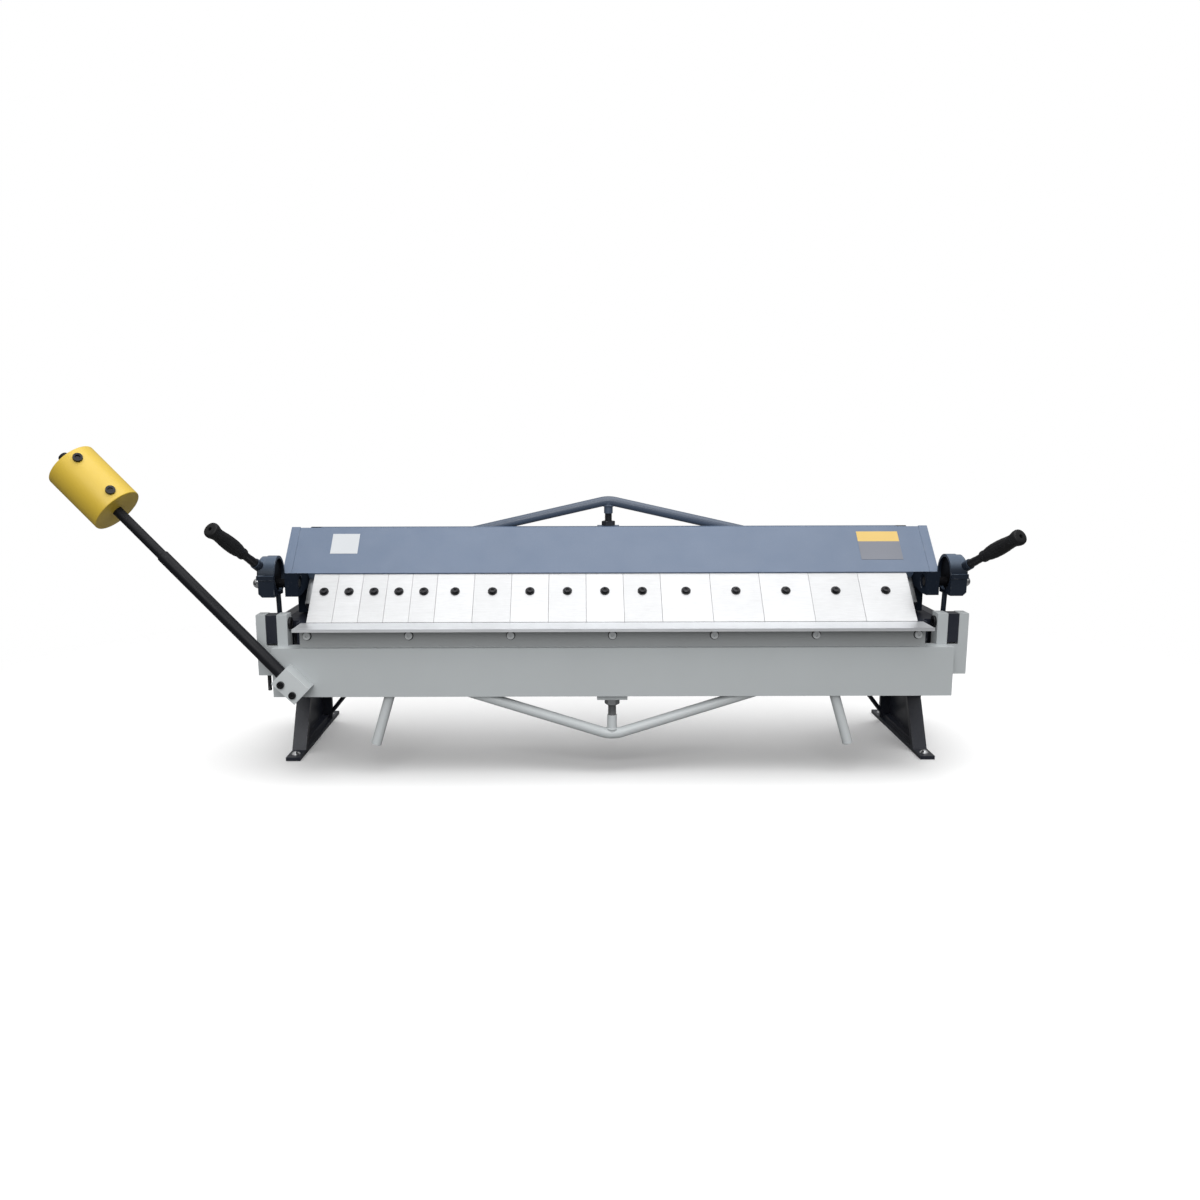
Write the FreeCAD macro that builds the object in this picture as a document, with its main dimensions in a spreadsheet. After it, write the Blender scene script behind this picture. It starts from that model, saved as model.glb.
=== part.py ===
"""Box and pan brake, 48 inches wide, for bench mounting.

The driving sizes are in the sheet below. The work frame is the apron's hinge axis: a piece's own
y and z are counted from that axis, which lies along X at hinge_back, hinge_high in the row frame.
The row frame has +Z up, +X to the user's right and its origin on the bench between the four bench
bolts.
"""
import FreeCAD, Part
import math
import os
import Sketcher
from FreeCAD import Placement, Rotation, Vector

os.makedirs("parts", exist_ok=True)
doc = FreeCAD.newDocument("BoxAndPanBrake")
sheet = doc.addObject("Spreadsheet::Sheet", "Sizes")
nodes = []
BOTH_SIDES = (("left", -1), ("right", 1))


class Measure:
    """A number together with the sheet formula that it comes from."""

    def __init__(self, value, text):
        self.value = value
        self.text = text

    def __add__(self, other):
        other = measure(other)
        return Measure(self.value + other.value, f"({self.text} + {other.text})")

    def __sub__(self, other):
        other = measure(other)
        return Measure(self.value - other.value, f"({self.text} - {other.text})")

    def __mul__(self, other):
        other = measure(other)
        return Measure(self.value * other.value, f"({self.text} * {other.text})")

    def __truediv__(self, other):
        other = measure(other)
        return Measure(self.value / other.value, f"({self.text} / {other.text})")

    def __neg__(self):
        return Measure(-self.value, f"(0 - {self.text})")

    def __radd__(self, other):
        return measure(other) + self

    def __rsub__(self, other):
        return measure(other) - self

    def __rmul__(self, other):
        return measure(other) * self


def measure(number):
    return number if isinstance(number, Measure) else Measure(float(number), repr(float(number)))


def sine(angle):
    return Measure(math.sin(math.radians(angle.value)), f"sin({angle.text})")


def cosine(angle):
    return Measure(math.cos(math.radians(angle.value)), f"cos({angle.text})")


def size(word, value):
    """Write one driving size into the sheet and return it as a measure."""
    size.row += 1
    sheet.set(f"A{size.row}", word)
    sheet.set(f"B{size.row}", str(value))
    sheet.setAlias(f"B{size.row}", word)
    return Measure(float(value), f"Sizes.{word}")


size.row = 0

# Fingers, in the three nominal widths of the set, which the machine's whole width hangs on
narrow_finger_width = size("narrow_finger_width", 50.8)
medium_finger_width = size("medium_finger_width", 76.2)
broad_finger_width = size("broad_finger_width", 101.6)
finger_seam = size("finger_seam", 0.4)
finger_angle = size("finger_angle", 45)
finger_thick = size("finger_thick", 16)
finger_long = size("finger_long", 121)
finger_heel = size("finger_heel", 22)
finger_heel_rise = size("finger_heel_rise", 30)
nose_back = size("nose_back", 3)
finger_screw_up = size("finger_screw_up", 76)
finger_screw_radius = size("finger_screw_radius", 5)
finger_screw_washer = size("finger_screw_washer", 9.5)
finger_screw_head = size("finger_screw_head", 6.5)
seat_bar_low = size("seat_bar_low", 58)
seat_bar_high = size("seat_bar_high", 165)
seat_bar_thick = size("seat_bar_thick", 20)

# Side frames, one channel-shaped casting each side
hinge_high = size("hinge_high", 310)
frame_wide = size("frame_wide", 21.5)
frame_web = size("frame_web", 7.5)
frame_flange = size("frame_flange", 10)
frame_rear = size("frame_rear", 371)
waist_back = size("waist_back", 175)
waist_drop = size("waist_drop", 201)
toe_back = size("toe_back", 120)
boss_reach = size("boss_reach", 14.5)
boss_high = size("boss_high", 18)
boss_chin = size("boss_chin", 41.5)
throat_back = size("throat_back", 17)
throat_drop = size("throat_drop", 75)
shoulder_back = size("shoulder_back", 300)
shoulder_drop = size("shoulder_drop", 60)
foot_front = size("foot_front", 70)
foot_heel = size("foot_heel", 59)
foot_wide = size("foot_wide", 30)
foot_thick = size("foot_thick", 8)
foot_bolt_inset = size("foot_bolt_inset", 70)
foot_bolt_hole = size("foot_bolt_hole", 5.5)
level_screw_inset = size("level_screw_inset", 25)
level_screw_radius = size("level_screw_radius", 5)
level_head_radius = size("level_head_radius", 10)
level_head_high = size("level_head_high", 6)
brace_radius = size("brace_radius", 5)
brace_foot_up = size("brace_foot_up", 19)
brace_inward = size("brace_inward", 180)
brace_top_drop = size("brace_top_drop", 68)

# Bed, the fixed table that the fingers clamp onto
bed_gap = size("bed_gap", 0.5)
bed_rear_gap = size("bed_rear_gap", 22.2)
bed_thick = size("bed_thick", 16)
bed_front_inset = size("bed_front_inset", 14)
bed_notch = size("bed_notch", 27)
bed_web_tall = size("bed_web_tall", 110)
bed_web_thick = size("bed_web_thick", 12)
bed_end_tall = size("bed_end_tall", 70)
bed_bolt_first = size("bed_bolt_first", 85)
bed_bolt_rear = size("bed_bolt_rear", 40)
bed_bolt_drop = size("bed_bolt_drop", 45)
bed_bolt_radius = size("bed_bolt_radius", 6)
bed_bolt_pad = size("bed_bolt_pad", 15)

# Clamp beam that carries the fingers
face_tall = size("face_tall", 121.4)
face_proud = size("face_proud", 3)
face_beyond = size("face_beyond", 8.2)
beam_plate = size("beam_plate", 10)
beam_back = size("beam_back", 230)
beam_low = size("beam_low", 84)
beam_end_wide = size("beam_end_wide", 18.8)
beam_end_proud = size("beam_end_proud", 2)
cheek_beside = size("cheek_beside", 14.4)
cheek_thick = size("cheek_thick", 25)
cheek_boss = size("cheek_boss", 24)
pivot_behind = size("pivot_behind", 28)
pivot_drop = size("pivot_drop", 80)
pivot_spacer = size("pivot_spacer", 14)
pivot_radius = size("pivot_radius", 10)
pivot_boss = size("pivot_boss", 26)
tail_leg_back = size("tail_leg_back", 98)
tail_leg_clear = size("tail_leg_clear", 4)

# Truss rod over the beam
truss_radius = size("truss_radius", 10.5)
truss_bend = size("truss_bend", 70)
upper_truss_rise = size("upper_truss_rise", 53.6)
upper_truss_angle = size("upper_truss_angle", 12.7)
post_radius = size("post_radius", 9.5)
jack_radius = size("jack_radius", 8)
jack_nut_radius = size("jack_nut_radius", 15)
jack_nut_high = size("jack_nut_high", 10)

# Eccentric clamps, one at each end of the beam
ring_back = size("ring_back", 30)
ring_high = size("ring_high", 93)
throw = size("throw", 17)
ring_beside = size("ring_beside", 2.5)
ring_thick = size("ring_thick", 20.5)
ring_outer = size("ring_outer", 38.5)
ring_bore = size("ring_bore", 33)
disc_recess = size("disc_recess", 6)
link_pin_back = size("link_pin_back", 44)
link_pin_drop = size("link_pin_drop", 60)
link_pin_radius = size("link_pin_radius", 6)
link_eye = size("link_eye", 14)
link_slot_slack = size("link_slot_slack", 4)
stem_radius = size("stem_radius", 5)
hub_radius = size("hub_radius", 37)
hub_thick = size("hub_thick", 14)
hub_waist = size("hub_waist", 7)
ledge_lip = size("ledge_lip", 1.5)
ledge_thick = size("ledge_thick", 9)
ledge_high = size("ledge_high", 3)
ledge_short = size("ledge_short", 1)
ring_block_proud = size("ring_block_proud", 4)
ring_block_low = size("ring_block_low", 40)
ring_block_rear = size("ring_block_rear", 20)
skirt_wall = size("skirt_wall", 2.6)
skirt_wide = size("skirt_wide", 11)
skirt_bevel = size("skirt_bevel", 7)
shaft_radius = size("shaft_radius", 9)
shaft_slack = size("shaft_slack", 6)
shaft_nut_radius = size("shaft_nut_radius", 12.5)
shaft_nut_thick = size("shaft_nut_thick", 12)
shaft_collar = size("shaft_collar", 4)
shaft_dome_high = size("shaft_dome_high", 9.5)
handle_splay = size("handle_splay", 20.9)
left_handle_rise = size("left_handle_rise", 37.8)
right_handle_rise = size("right_handle_rise", 31.2)
handle_radius = size("handle_radius", 8.5)
socket_wall = size("socket_wall", 2)
socket_long = size("socket_long", 16)
handle_root = size("handle_root", 30.6)
handle_long = size("handle_long", 150.8)
grip_long = size("grip_long", 100)
grip_neck = size("grip_neck", 11)
grip_belly = size("grip_belly", 14.5)
grip_end = size("grip_end", 15.5)

# Apron, the leaf that swings up and bends the sheet
apron_beyond = size("apron_beyond", 25.9)
apron_front = size("apron_front", 43)
apron_plate = size("apron_plate", 10)
apron_top = size("apron_top", 43)
apron_bottom = size("apron_bottom", 140.6)
edge_plate_back = size("edge_plate_back", 4)
edge_plate_thick = size("edge_plate_thick", 20)
blade_beyond = size("blade_beyond", 9.4)
blade_reach = size("blade_reach", 68)
blade_thick = size("blade_thick", 6)
strip_beyond = size("strip_beyond", 5)
blade_bolt_inset = size("blade_bolt_inset", 14.6)
blade_bolt_drop = size("blade_bolt_drop", 20)
blade_bolt_radius = size("blade_bolt_radius", 5)
blade_bolt_head = size("blade_bolt_head", 8)
inner_arm_thick = size("inner_arm_thick", 20.5)
outer_arm_thick = size("outer_arm_thick", 18.5)
arm_half_deep = size("arm_half_deep", 16)
arm_high = size("arm_high", 19)
arm_foot_tall = size("arm_foot_tall", 40)
bracket_floor = size("bracket_floor", 20)
side_gap = size("side_gap", 0.4)
pin_radius = size("pin_radius", 8)
pin_head_radius = size("pin_head_radius", 12)
pin_head_thick = size("pin_head_thick", 5)
pin_end_proud = size("pin_end_proud", 3)
bush_wall = size("bush_wall", 2.5)
running_gap = size("running_gap", 0.05)
bolt_gap = size("bolt_gap", 0.2)
end_screw_radius = size("end_screw_radius", 5.5)
stop_rod_radius = size("stop_rod_radius", 4)
stop_rod_long = size("stop_rod_long", 118)

# Truss rod and lifting bars under the apron
lower_truss_fall = size("lower_truss_fall", 81.4)
lower_truss_angle = size("lower_truss_angle", 17.5)
lower_jack_long = size("lower_jack_long", 32.4)
lift_bar_radius = size("lift_bar_radius", 10)
lift_bar_inset = size("lift_bar_inset", 236)
lift_bar_splay = size("lift_bar_splay", 41)
lift_bar_grip = size("lift_bar_grip", 32.6)
lift_bar_reach = size("lift_bar_reach", 102.4)

# Counterweight arm on the apron's left end
block_inset = size("block_inset", 22.5)
block_drop = size("block_drop", 88.6)
block_ahead = size("block_ahead", 60)
block_long = size("block_long", 60)
block_wide = size("block_wide", 43)
block_thick = size("block_thick", 38)
arm_rise = size("arm_rise", 44.15)
arm_lean = size("arm_lean", 8)
tube_radius = size("tube_radius", 12)
tube_long = size("tube_long", 329)
rod_radius = size("rod_radius", 10)
rod_long = size("rod_long", 608)
weight_start = size("weight_start", 453)
weight_long = size("weight_long", 129)
weight_radius = size("weight_radius", 50.5)
weight_screw_inset = size("weight_screw_inset", 20)
weight_screw_roll = size("weight_screw_roll", 41)
weight_screw_radius = size("weight_screw_radius", 5)
doc.recompute()

# Stations across the machine, worked outwards from the finger set
NARROW_COUNT = 5
MEDIUM_COUNT = 6
BROAD_COUNT = 5
FINGER_COUNT = NARROW_COUNT + MEDIUM_COUNT + BROAD_COUNT
set_wide = (narrow_finger_width * NARROW_COUNT + medium_finger_width * MEDIUM_COUNT
            + broad_finger_width * BROAD_COUNT)
set_half = set_wide / 2
blade_half = set_half + blade_beyond
strip_half = set_half + strip_beyond
cheek_inner = set_half + cheek_beside
cheek_outer = cheek_inner + cheek_thick
face_half = cheek_outer + face_beyond
beam_end_half = face_half + beam_end_wide
frame_inner = cheek_outer + pivot_spacer
frame_outer = frame_inner + frame_wide
ring_inner_face = frame_inner + ring_beside
arm_inner = frame_inner - side_gap - inner_arm_thick
arm_outer = frame_outer + side_gap + outer_arm_thick
bed_front_half = arm_inner - bed_front_inset
apron_half = arm_inner + apron_beyond

# Stations from front to rear, and the hinge axis above the middle of the foot bolts
foot_rear = frame_rear + foot_heel
hinge_back = -(foot_front + foot_rear) / 2
pivot_back = beam_back + pivot_behind
tail_front = pivot_back - pivot_boss * 0.8
tail_rear = pivot_back + pivot_boss * 0.8
bed_deep = tail_front - bed_rear_gap


# Helpers that put the sheet's formulas into the document
def bind(thing, prop, length):
    thing.setExpression(prop, measure(length).text)


def seat(thing, across, back, up):
    """Place a piece by three lengths from the middle of the hinge axis."""
    bind(thing, "Placement.Base.x", across)
    bind(thing, "Placement.Base.y", hinge_back + back)
    bind(thing, "Placement.Base.z", hinge_high + up)


def point(across, back, up):
    """The same place as a plain vector in the row frame."""
    lengths = (measure(across), hinge_back + back, hinge_high + up)
    return Vector(*[length.value for length in lengths])


def spread(side, inner, outer):
    """The low and high X of a piece that lies between two distances from the middle."""
    return (inner, outer) if side > 0 else (-outer, -inner)


def hypotenuse(first, second):
    value = math.hypot(first.value, second.value)
    return Measure(value, f"sqrt({first.text} ^ 2 + {second.text} ^ 2)")


def sloped(up_slope, depth):
    """Back and up of a point on the fingers' slope, depth counted inwards from their face."""
    back = nose_back + up_slope * cosine(finger_angle) + depth * sine(finger_angle)
    return back, up_slope * sine(finger_angle) - depth * cosine(finger_angle)


def node(thing, label):
    """Keep a finished object as the named piece of the assembly."""
    thing.Label = label
    nodes.append(thing)
    return thing


# Sketched bodies: every outline is drawn in the YZ or XY plane of its own body
def body(name):
    part = doc.addObject("PartDesign::Body", name)
    seat(part, 0, 0, 0)
    return part


def sketch_on(part, role, offset):
    sketch = part.newObject("Sketcher::SketchObject", f"{part.Name}_sketch")
    plane = next(item for item in part.Origin.OriginFeatures if item.Role == role)
    sketch.AttachmentSupport = [(plane, "")]
    sketch.MapMode = "FlatFace"
    bind(sketch, "AttachmentOffset.Base.z", offset)
    return sketch


def hold(sketch, kind, geometry, spot, length):
    """Tie one point of the sketch to a length from its origin."""
    length = measure(length)
    index = sketch.addConstraint(Sketcher.Constraint(kind, -1, 1, geometry, spot, length.value))
    bind(sketch, f"Constraints[{index}]", length)


def draw_polygon(sketch, corners):
    flat = [Vector(measure(across).value, measure(up).value, 0) for across, up in corners]
    count = len(flat)
    for index, start in enumerate(flat):
        sketch.addGeometry(Part.LineSegment(start, flat[(index + 1) % count]), False)
    for index, (across, up) in enumerate(corners):
        sketch.addConstraint(Sketcher.Constraint("Coincident", index, 2, (index + 1) % count, 1))
        hold(sketch, "DistanceX", index, 1, across)
        hold(sketch, "DistanceY", index, 1, up)


def draw_disc(sketch, across, up, radius):
    centre = Vector(measure(across).value, measure(up).value, 0)
    index = sketch.addGeometry(Part.Circle(centre, Vector(0, 0, 1), measure(radius).value), False)
    hold(sketch, "DistanceX", index, 3, across)
    hold(sketch, "DistanceY", index, 3, up)
    size_held = sketch.addConstraint(Sketcher.Constraint("Radius", index, measure(radius).value))
    bind(sketch, f"Constraints[{size_held}]", radius)


def draw(sketch, shape):
    if isinstance(shape, list):
        draw_polygon(sketch, shape)
    else:
        draw_disc(sketch, *shape)


def rectangle(left, right, low, high):
    return [(left, low), (right, low), (right, high), (left, high)]


def pad(part, shape, low, high, role="YZ_Plane"):
    """Add material with the given outline from low to high along the plane's normal."""
    sketch = sketch_on(part, role, low)
    draw(sketch, shape)
    feature = part.newObject("PartDesign::Pad", f"{part.Name}_pad")
    feature.Profile = sketch
    bind(feature, "Length", high - low)
    return feature


def pocket(part, shape, low, high, role="YZ_Plane"):
    """Cut the given outline out from low to high along the plane's normal."""
    sketch = sketch_on(part, role, high)
    draw(sketch, shape)
    feature = part.newObject("PartDesign::Pocket", f"{part.Name}_pocket")
    feature.Profile = sketch
    bind(feature, "Length", high - low)
    return feature


def drill(part, radius, deep, base, direction, kind="PartDesign::SubtractiveCylinder"):
    """Cut, or add, a round bar along any direction in a body, from a base beside its axis."""
    feature = part.newObject(kind, f"{part.Name}_bar")
    bind(feature, "Radius", radius)
    bind(feature, "Height", deep)
    feature.Placement = Placement(Vector(), Rotation(Vector(0, 0, 1), direction))
    for name, length in zip("xyz", base):
        bind(feature, f"Placement.Base.{name}", length)
    return feature


def soften(part, size_cut, belongs):
    """Chamfer the edges of the body that belongs() picks out."""
    doc.recompute()
    base = part.Tip
    names = [f"Edge{index + 1}" for index, edge in enumerate(base.Shape.Edges) if belongs(edge)]
    feature = part.newObject("PartDesign::Chamfer", f"{part.Name}_chamfer")
    feature.Base = (base, names)
    bind(feature, "Size", size_cut)
    return feature


# Turned pieces: steps of one axis, made along their own +Z
def solid(kind, name, **lengths):
    thing = doc.addObject(kind, name)
    for prop, length in lengths.items():
        bind(thing, prop, length)
    return thing


def union(name, solids):
    if len(solids) == 1:
        return solids[0]
    thing = doc.addObject("Part::MultiFuse", name)
    thing.Shapes = solids
    thing.Refine = True
    return thing


def cut(name, base, tool):
    thing = doc.addObject("Part::Cut", name)
    thing.Base = base
    thing.Tool = tool
    return thing


def turned(name, steps, bore=None, socket=None):
    """Round or hex steps (kind, radius, length) one above the other, with a bore or a hex socket."""
    level = measure(0)
    solids = []
    for kind, radius, length in steps:
        if kind == "hex":
            step = solid("Part::Prism", f"{name}_hex", Circumradius=radius, Height=length)
        else:
            step = solid("Part::Cylinder", f"{name}_step", Radius=radius, Height=length)
        bind(step, "Placement.Base.z", level)
        level = level + length
        solids.append(step)
    piece = union(f"{name}_steps", solids)
    if bore is not None:
        tool = solid("Part::Cylinder", f"{name}_bore", Radius=bore, Height=level)
        piece = cut(f"{name}_bored", piece, tool)
    if socket is not None:
        across, deep = socket
        tool = solid("Part::Prism", f"{name}_socket", Circumradius=across, Height=deep)
        bind(tool, "Placement.Base.z", level - deep)
        piece = cut(f"{name}_socketed", piece, tool)
    return piece


def dome(name, radius, high, level):
    """The cap of a ball, with this radius where it sits at the level."""
    ball = (radius * radius + high * high) / (2 * high)
    cap = solid("Part::Sphere", name, Radius=ball)
    cap.Angle1 = math.degrees(math.asin(1 - high.value / ball.value))
    bind(cap, "Placement.Base.z", level + high - ball)
    return cap


def stand(piece, direction, across, back, up):
    """Turn a piece that was made along +Z to a direction and seat it."""
    piece.Placement = Placement(Vector(), Rotation(Vector(0, 0, 1), direction))
    seat(piece, across, back, up)
    return piece


def copies(label, master, places):
    """One node of separate solids: the same fastener at several places and directions."""
    doc.recompute()
    solids = []
    for spot, direction in places:
        copy = master.Shape.copy()
        copy.Placement = Placement(spot, Rotation(Vector(0, 0, 1), direction))
        solids.append(copy)
    group = doc.addObject("Part::Feature", label)
    group.Shape = Part.makeCompound(solids)
    return node(group, label)


# Side frames with their feet, and what is fitted into them
recess_outer = frame_outer - frame_web
foot_top = foot_thick - hinge_high
foot_middle = frame_outer - foot_wide / 2
bolt_front = foot_front + foot_bolt_inset
bolt_rear = foot_rear - foot_bolt_inset
level_front = foot_front + level_screw_inset
level_rear = foot_rear - level_screw_inset
bush_radius = pin_radius + bush_wall
hinge_bore = pin_radius + running_gap
link_slot_front = throat_back + frame_flange
link_slot_rear = link_pin_back + link_eye + link_slot_slack
bed_bolt_run = bed_deep - bed_bolt_rear - bed_bolt_first
bed_bolt_places = [bed_bolt_first + bed_bolt_run * share for share in (0, 0.5, 1)]
CHIN_END = -66


def chin(turn):
    """A point of the boss's round chin, which clears the apron's bracket as it swings."""
    return boss_chin * math.cos(math.radians(turn)), boss_chin * math.sin(math.radians(turn))


def side_frame(name, side):
    part = body(f"{name}_frame")
    low, high = spread(side, frame_inner, frame_outer)
    outline = [
        (-boss_reach, boss_high),
        (-boss_reach, -boss_chin * 0.94),
        chin(-90),
        chin(CHIN_END),
        (throat_back, -throat_drop),
        (waist_back, -waist_drop),
        (toe_back, foot_top),
        (frame_rear, foot_top),
        (frame_rear, -shoulder_drop),
        (shoulder_back, 0),
        (arm_half_deep, 0),
        (arm_half_deep, boss_high),
    ]
    pad(part, outline, low, high)
    inner_low, inner_high = spread(side, frame_inner, recess_outer)
    recess = [
        (link_slot_front, -frame_flange),
        (link_slot_front, -throat_drop + frame_flange / 2),
        (waist_back + frame_flange * 1.3, -waist_drop + frame_flange * 0.3),
        (toe_back + frame_flange * 1.7, foot_top + frame_flange),
        (frame_rear - frame_flange, foot_top + frame_flange),
        (frame_rear - frame_flange, -shoulder_drop - frame_flange * 0.5),
        (shoulder_back - frame_flange * 0.5, -frame_flange),
    ]
    pocket(part, recess, inner_low, inner_high)
    slot = rectangle(link_slot_front, link_slot_rear, -frame_flange * 2, boss_high)
    pocket(part, slot, inner_low, inner_high)
    for place in bed_bolt_places:
        pad(part, (place, -bed_bolt_drop, bed_bolt_pad), inner_low, inner_high)
    pad(part, (pivot_back, -pivot_drop, pivot_boss), inner_low, inner_high)
    for place in bed_bolt_places:
        pocket(part, (place, -bed_bolt_drop, bed_bolt_radius + bolt_gap), low, high)
    pocket(part, (0, 0, bush_radius), low, high)
    pocket(part, (link_pin_back, -link_pin_drop, link_pin_radius), low, high)
    pocket(part, (pivot_back, -pivot_drop, pivot_radius + running_gap), low, high)
    flange_low, flange_high = spread(side, frame_outer - foot_wide, frame_inner)
    front_flange = [
        (waist_back, -waist_drop),
        (toe_back, foot_top),
        (toe_back + frame_flange * 1.7, foot_top),
        (waist_back + frame_flange * 1.3, -waist_drop),
    ]
    pad(part, front_flange, flange_low, flange_high)
    rear_flange = rectangle(frame_rear - frame_flange, frame_rear, foot_top, -shoulder_drop - frame_flange)
    pad(part, rear_flange, flange_low, flange_high)
    foot_low, foot_high = spread(side, frame_outer - foot_wide, frame_outer)
    foot = rectangle(foot_low, foot_high, foot_front, foot_rear)
    pad(part, foot, -hinge_high, foot_top, "XY_Plane")
    for place in (bolt_front, bolt_rear):
        hole = (foot_middle * side, place, foot_bolt_hole)
        pocket(part, hole, -hinge_high, foot_top + frame_flange, "XY_Plane")
    for place in (level_front, level_rear):
        hole = (foot_middle * side, place, level_screw_radius)
        pocket(part, hole, -hinge_high, foot_top, "XY_Plane")
    return node(part, f"{name}_frame")


for name, side in BOTH_SIDES:
    side_frame(name, side)

bush = turned("bush", [("round", bush_radius, frame_wide)], bore=hinge_bore)
copies("hinge_bushes", bush, [(point(frame_inner, 0, 0), Vector(1, 0, 0)),
                              (point(-frame_outer, 0, 0), Vector(1, 0, 0))])

link_pin_head = ring_inner_face - frame_inner - side_gap * 2
link_pin = turned("link_pin", [("round", link_pin_radius, frame_outer - ring_inner_face),
                               ("round", link_pin_radius * 1.6, link_pin_head)])
copies("link_pins", link_pin, [
    (point(frame_outer * side, link_pin_back, -link_pin_drop), Vector(-side, 0, 0))
    for _, side in BOTH_SIDES])

level_dome = dome("level_dome", level_head_radius, level_head_high, foot_thick)
level_shank = solid("Part::Cylinder", "level_shank", Radius=level_screw_radius, Height=foot_thick)
level_screw = union("level_screw", [level_shank, level_dome])
copies("levelling_screws", level_screw, [
    (point(foot_middle * side, place, -hinge_high), Vector(0, 0, 1))
    for _, side in BOTH_SIDES for place in (level_front, level_rear)])


# Bed: a plate with a deep front web, a rear web and an end plate against each frame
bed = body("bed")
pad(bed, rectangle(bed_notch, bed_deep, -bed_thick, 0), -frame_inner, frame_inner)
pad(bed, rectangle(bed_gap, bed_notch, -bed_thick, 0), -bed_front_half, bed_front_half)
pad(bed, rectangle(bed_gap, bed_gap + bed_web_thick, -bed_web_tall, -bed_thick),
    -bed_front_half, bed_front_half)
pad(bed, rectangle(bed_deep - bed_web_thick, bed_deep, -bed_thick - bed_end_tall, -bed_thick),
    -frame_inner, frame_inner)
bed_end_front = link_slot_rear
for _, side in BOTH_SIDES:
    low, high = spread(side, frame_inner - bed_web_thick, frame_inner)
    end = rectangle(bed_end_front, bed_deep - bed_web_thick, -bed_thick - bed_end_tall, -bed_thick)
    pad(bed, end, low, high)
    for place in bed_bolt_places:
        pocket(bed, (place, -bed_bolt_drop, bed_bolt_radius + bolt_gap), low, high)
node(bed, "bed")

bed_bolt = turned("bed_bolt", [("round", bed_bolt_radius, frame_wide + bed_web_thick),
                               ("round", bed_bolt_radius * 1.5, bed_bolt_radius * 2)],
                  socket=(bed_bolt_radius * 0.9, bed_bolt_radius))
copies("bed_bolts", bed_bolt, [
    (point((frame_inner - bed_web_thick) * side, place, -bed_bolt_drop), Vector(side, 0, 0))
    for _, side in BOTH_SIDES for place in bed_bolt_places])


# Braces: a rod each side from the frame's rear leg up to the bed's rear web, cut off flush at both
leg_inner = frame_outer - foot_wide
brace_long = hypotenuse(brace_inward, bed_end_tall + bed_thick + hinge_high)
brace_foot = (leg_inner, frame_rear - frame_flange / 2, foot_top + brace_foot_up)
brace_top = (leg_inner - brace_inward, bed_deep, -brace_top_drop)
brace_run = [high - low for high, low in zip(brace_top, brace_foot)]
rods = []
for _, side in BOTH_SIDES:
    along = Vector(brace_run[0].value * side, brace_run[1].value, brace_run[2].value)
    rod = solid("Part::Cylinder", "brace_rod", Radius=brace_radius, Height=brace_long)
    foot = [low - run * 0.1 for low, run in zip(brace_foot, brace_run)]
    rods.append(stand(rod, along, foot[0] * side, foot[1], foot[2]))
brace_room = solid("Part::Box", "brace_room", Length=leg_inner * 2, Width=frame_rear - bed_deep,
                   Height=hinge_high)
seat(brace_room, -leg_inner, bed_deep, -hinge_high)
braces = doc.addObject("Part::MultiCommon", "brace_trim")
braces.Shapes = [union("brace_rods", rods), brace_room]
node(braces, "bed_braces")


# Fingers: five narrow, six medium and five broad, left to right, each on its own screw
inward = Vector(0, math.sin(math.radians(finger_angle.value)), -math.cos(math.radians(finger_angle.value)))


def finger_edge(count):
    """X of the seam that has this many fingers to its left."""
    narrow = min(count, NARROW_COUNT)
    medium = min(max(count - NARROW_COUNT, 0), MEDIUM_COUNT)
    broad = max(count - NARROW_COUNT - MEDIUM_COUNT, 0)
    wide = narrow_finger_width * narrow + medium_finger_width * medium + broad_finger_width * broad
    return wide - set_half


finger_middles = [(finger_edge(count) + finger_edge(count + 1)) / 2 for count in range(FINGER_COUNT)]
finger_outline = [
    (nose_back, 0),
    sloped(finger_long, 0),
    sloped(finger_long, finger_thick),
    sloped(finger_heel_rise, finger_thick),
    (nose_back + finger_heel, 0),
]
for count in range(FINGER_COUNT):
    finger = body(f"finger_{count + 1:02d}")
    low = finger_edge(count) + finger_seam / 2
    high = finger_edge(count + 1) - finger_seam / 2
    pad(finger, finger_outline, low, high)
    hole_base = (finger_middles[count], *sloped(finger_screw_up, -1))
    drill(finger, finger_screw_radius + bolt_gap, finger_thick + 2, hole_base, inward)
    node(finger, f"finger_{count + 1:02d}")

finger_bar = body("finger_bar")
bar_back = finger_thick + seat_bar_thick
pad(finger_bar, [sloped(seat_bar_low, finger_thick), sloped(seat_bar_high, finger_thick),
                 sloped(seat_bar_high, bar_back), sloped(seat_bar_low, bar_back)],
    -cheek_inner, cheek_inner)
for middle in finger_middles:
    hole_base = (middle, *sloped(finger_screw_up, finger_thick - 1))
    drill(finger_bar, finger_screw_radius + bolt_gap, seat_bar_thick + 2, hole_base, inward)
node(finger_bar, "finger_bar")

finger_screw = turned("finger_screw", [("round", finger_screw_radius, bar_back),
                                       ("round", finger_screw_washer, finger_screw_radius * 0.4),
                                       ("round", finger_screw_head, finger_screw_radius * 0.8)],
                      socket=(finger_screw_radius * 0.7, finger_screw_radius * 0.6))
copies("finger_screws", finger_screw, [
    (point(middle, *sloped(finger_screw_up, bar_back)), -inward) for middle in finger_middles])


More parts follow.
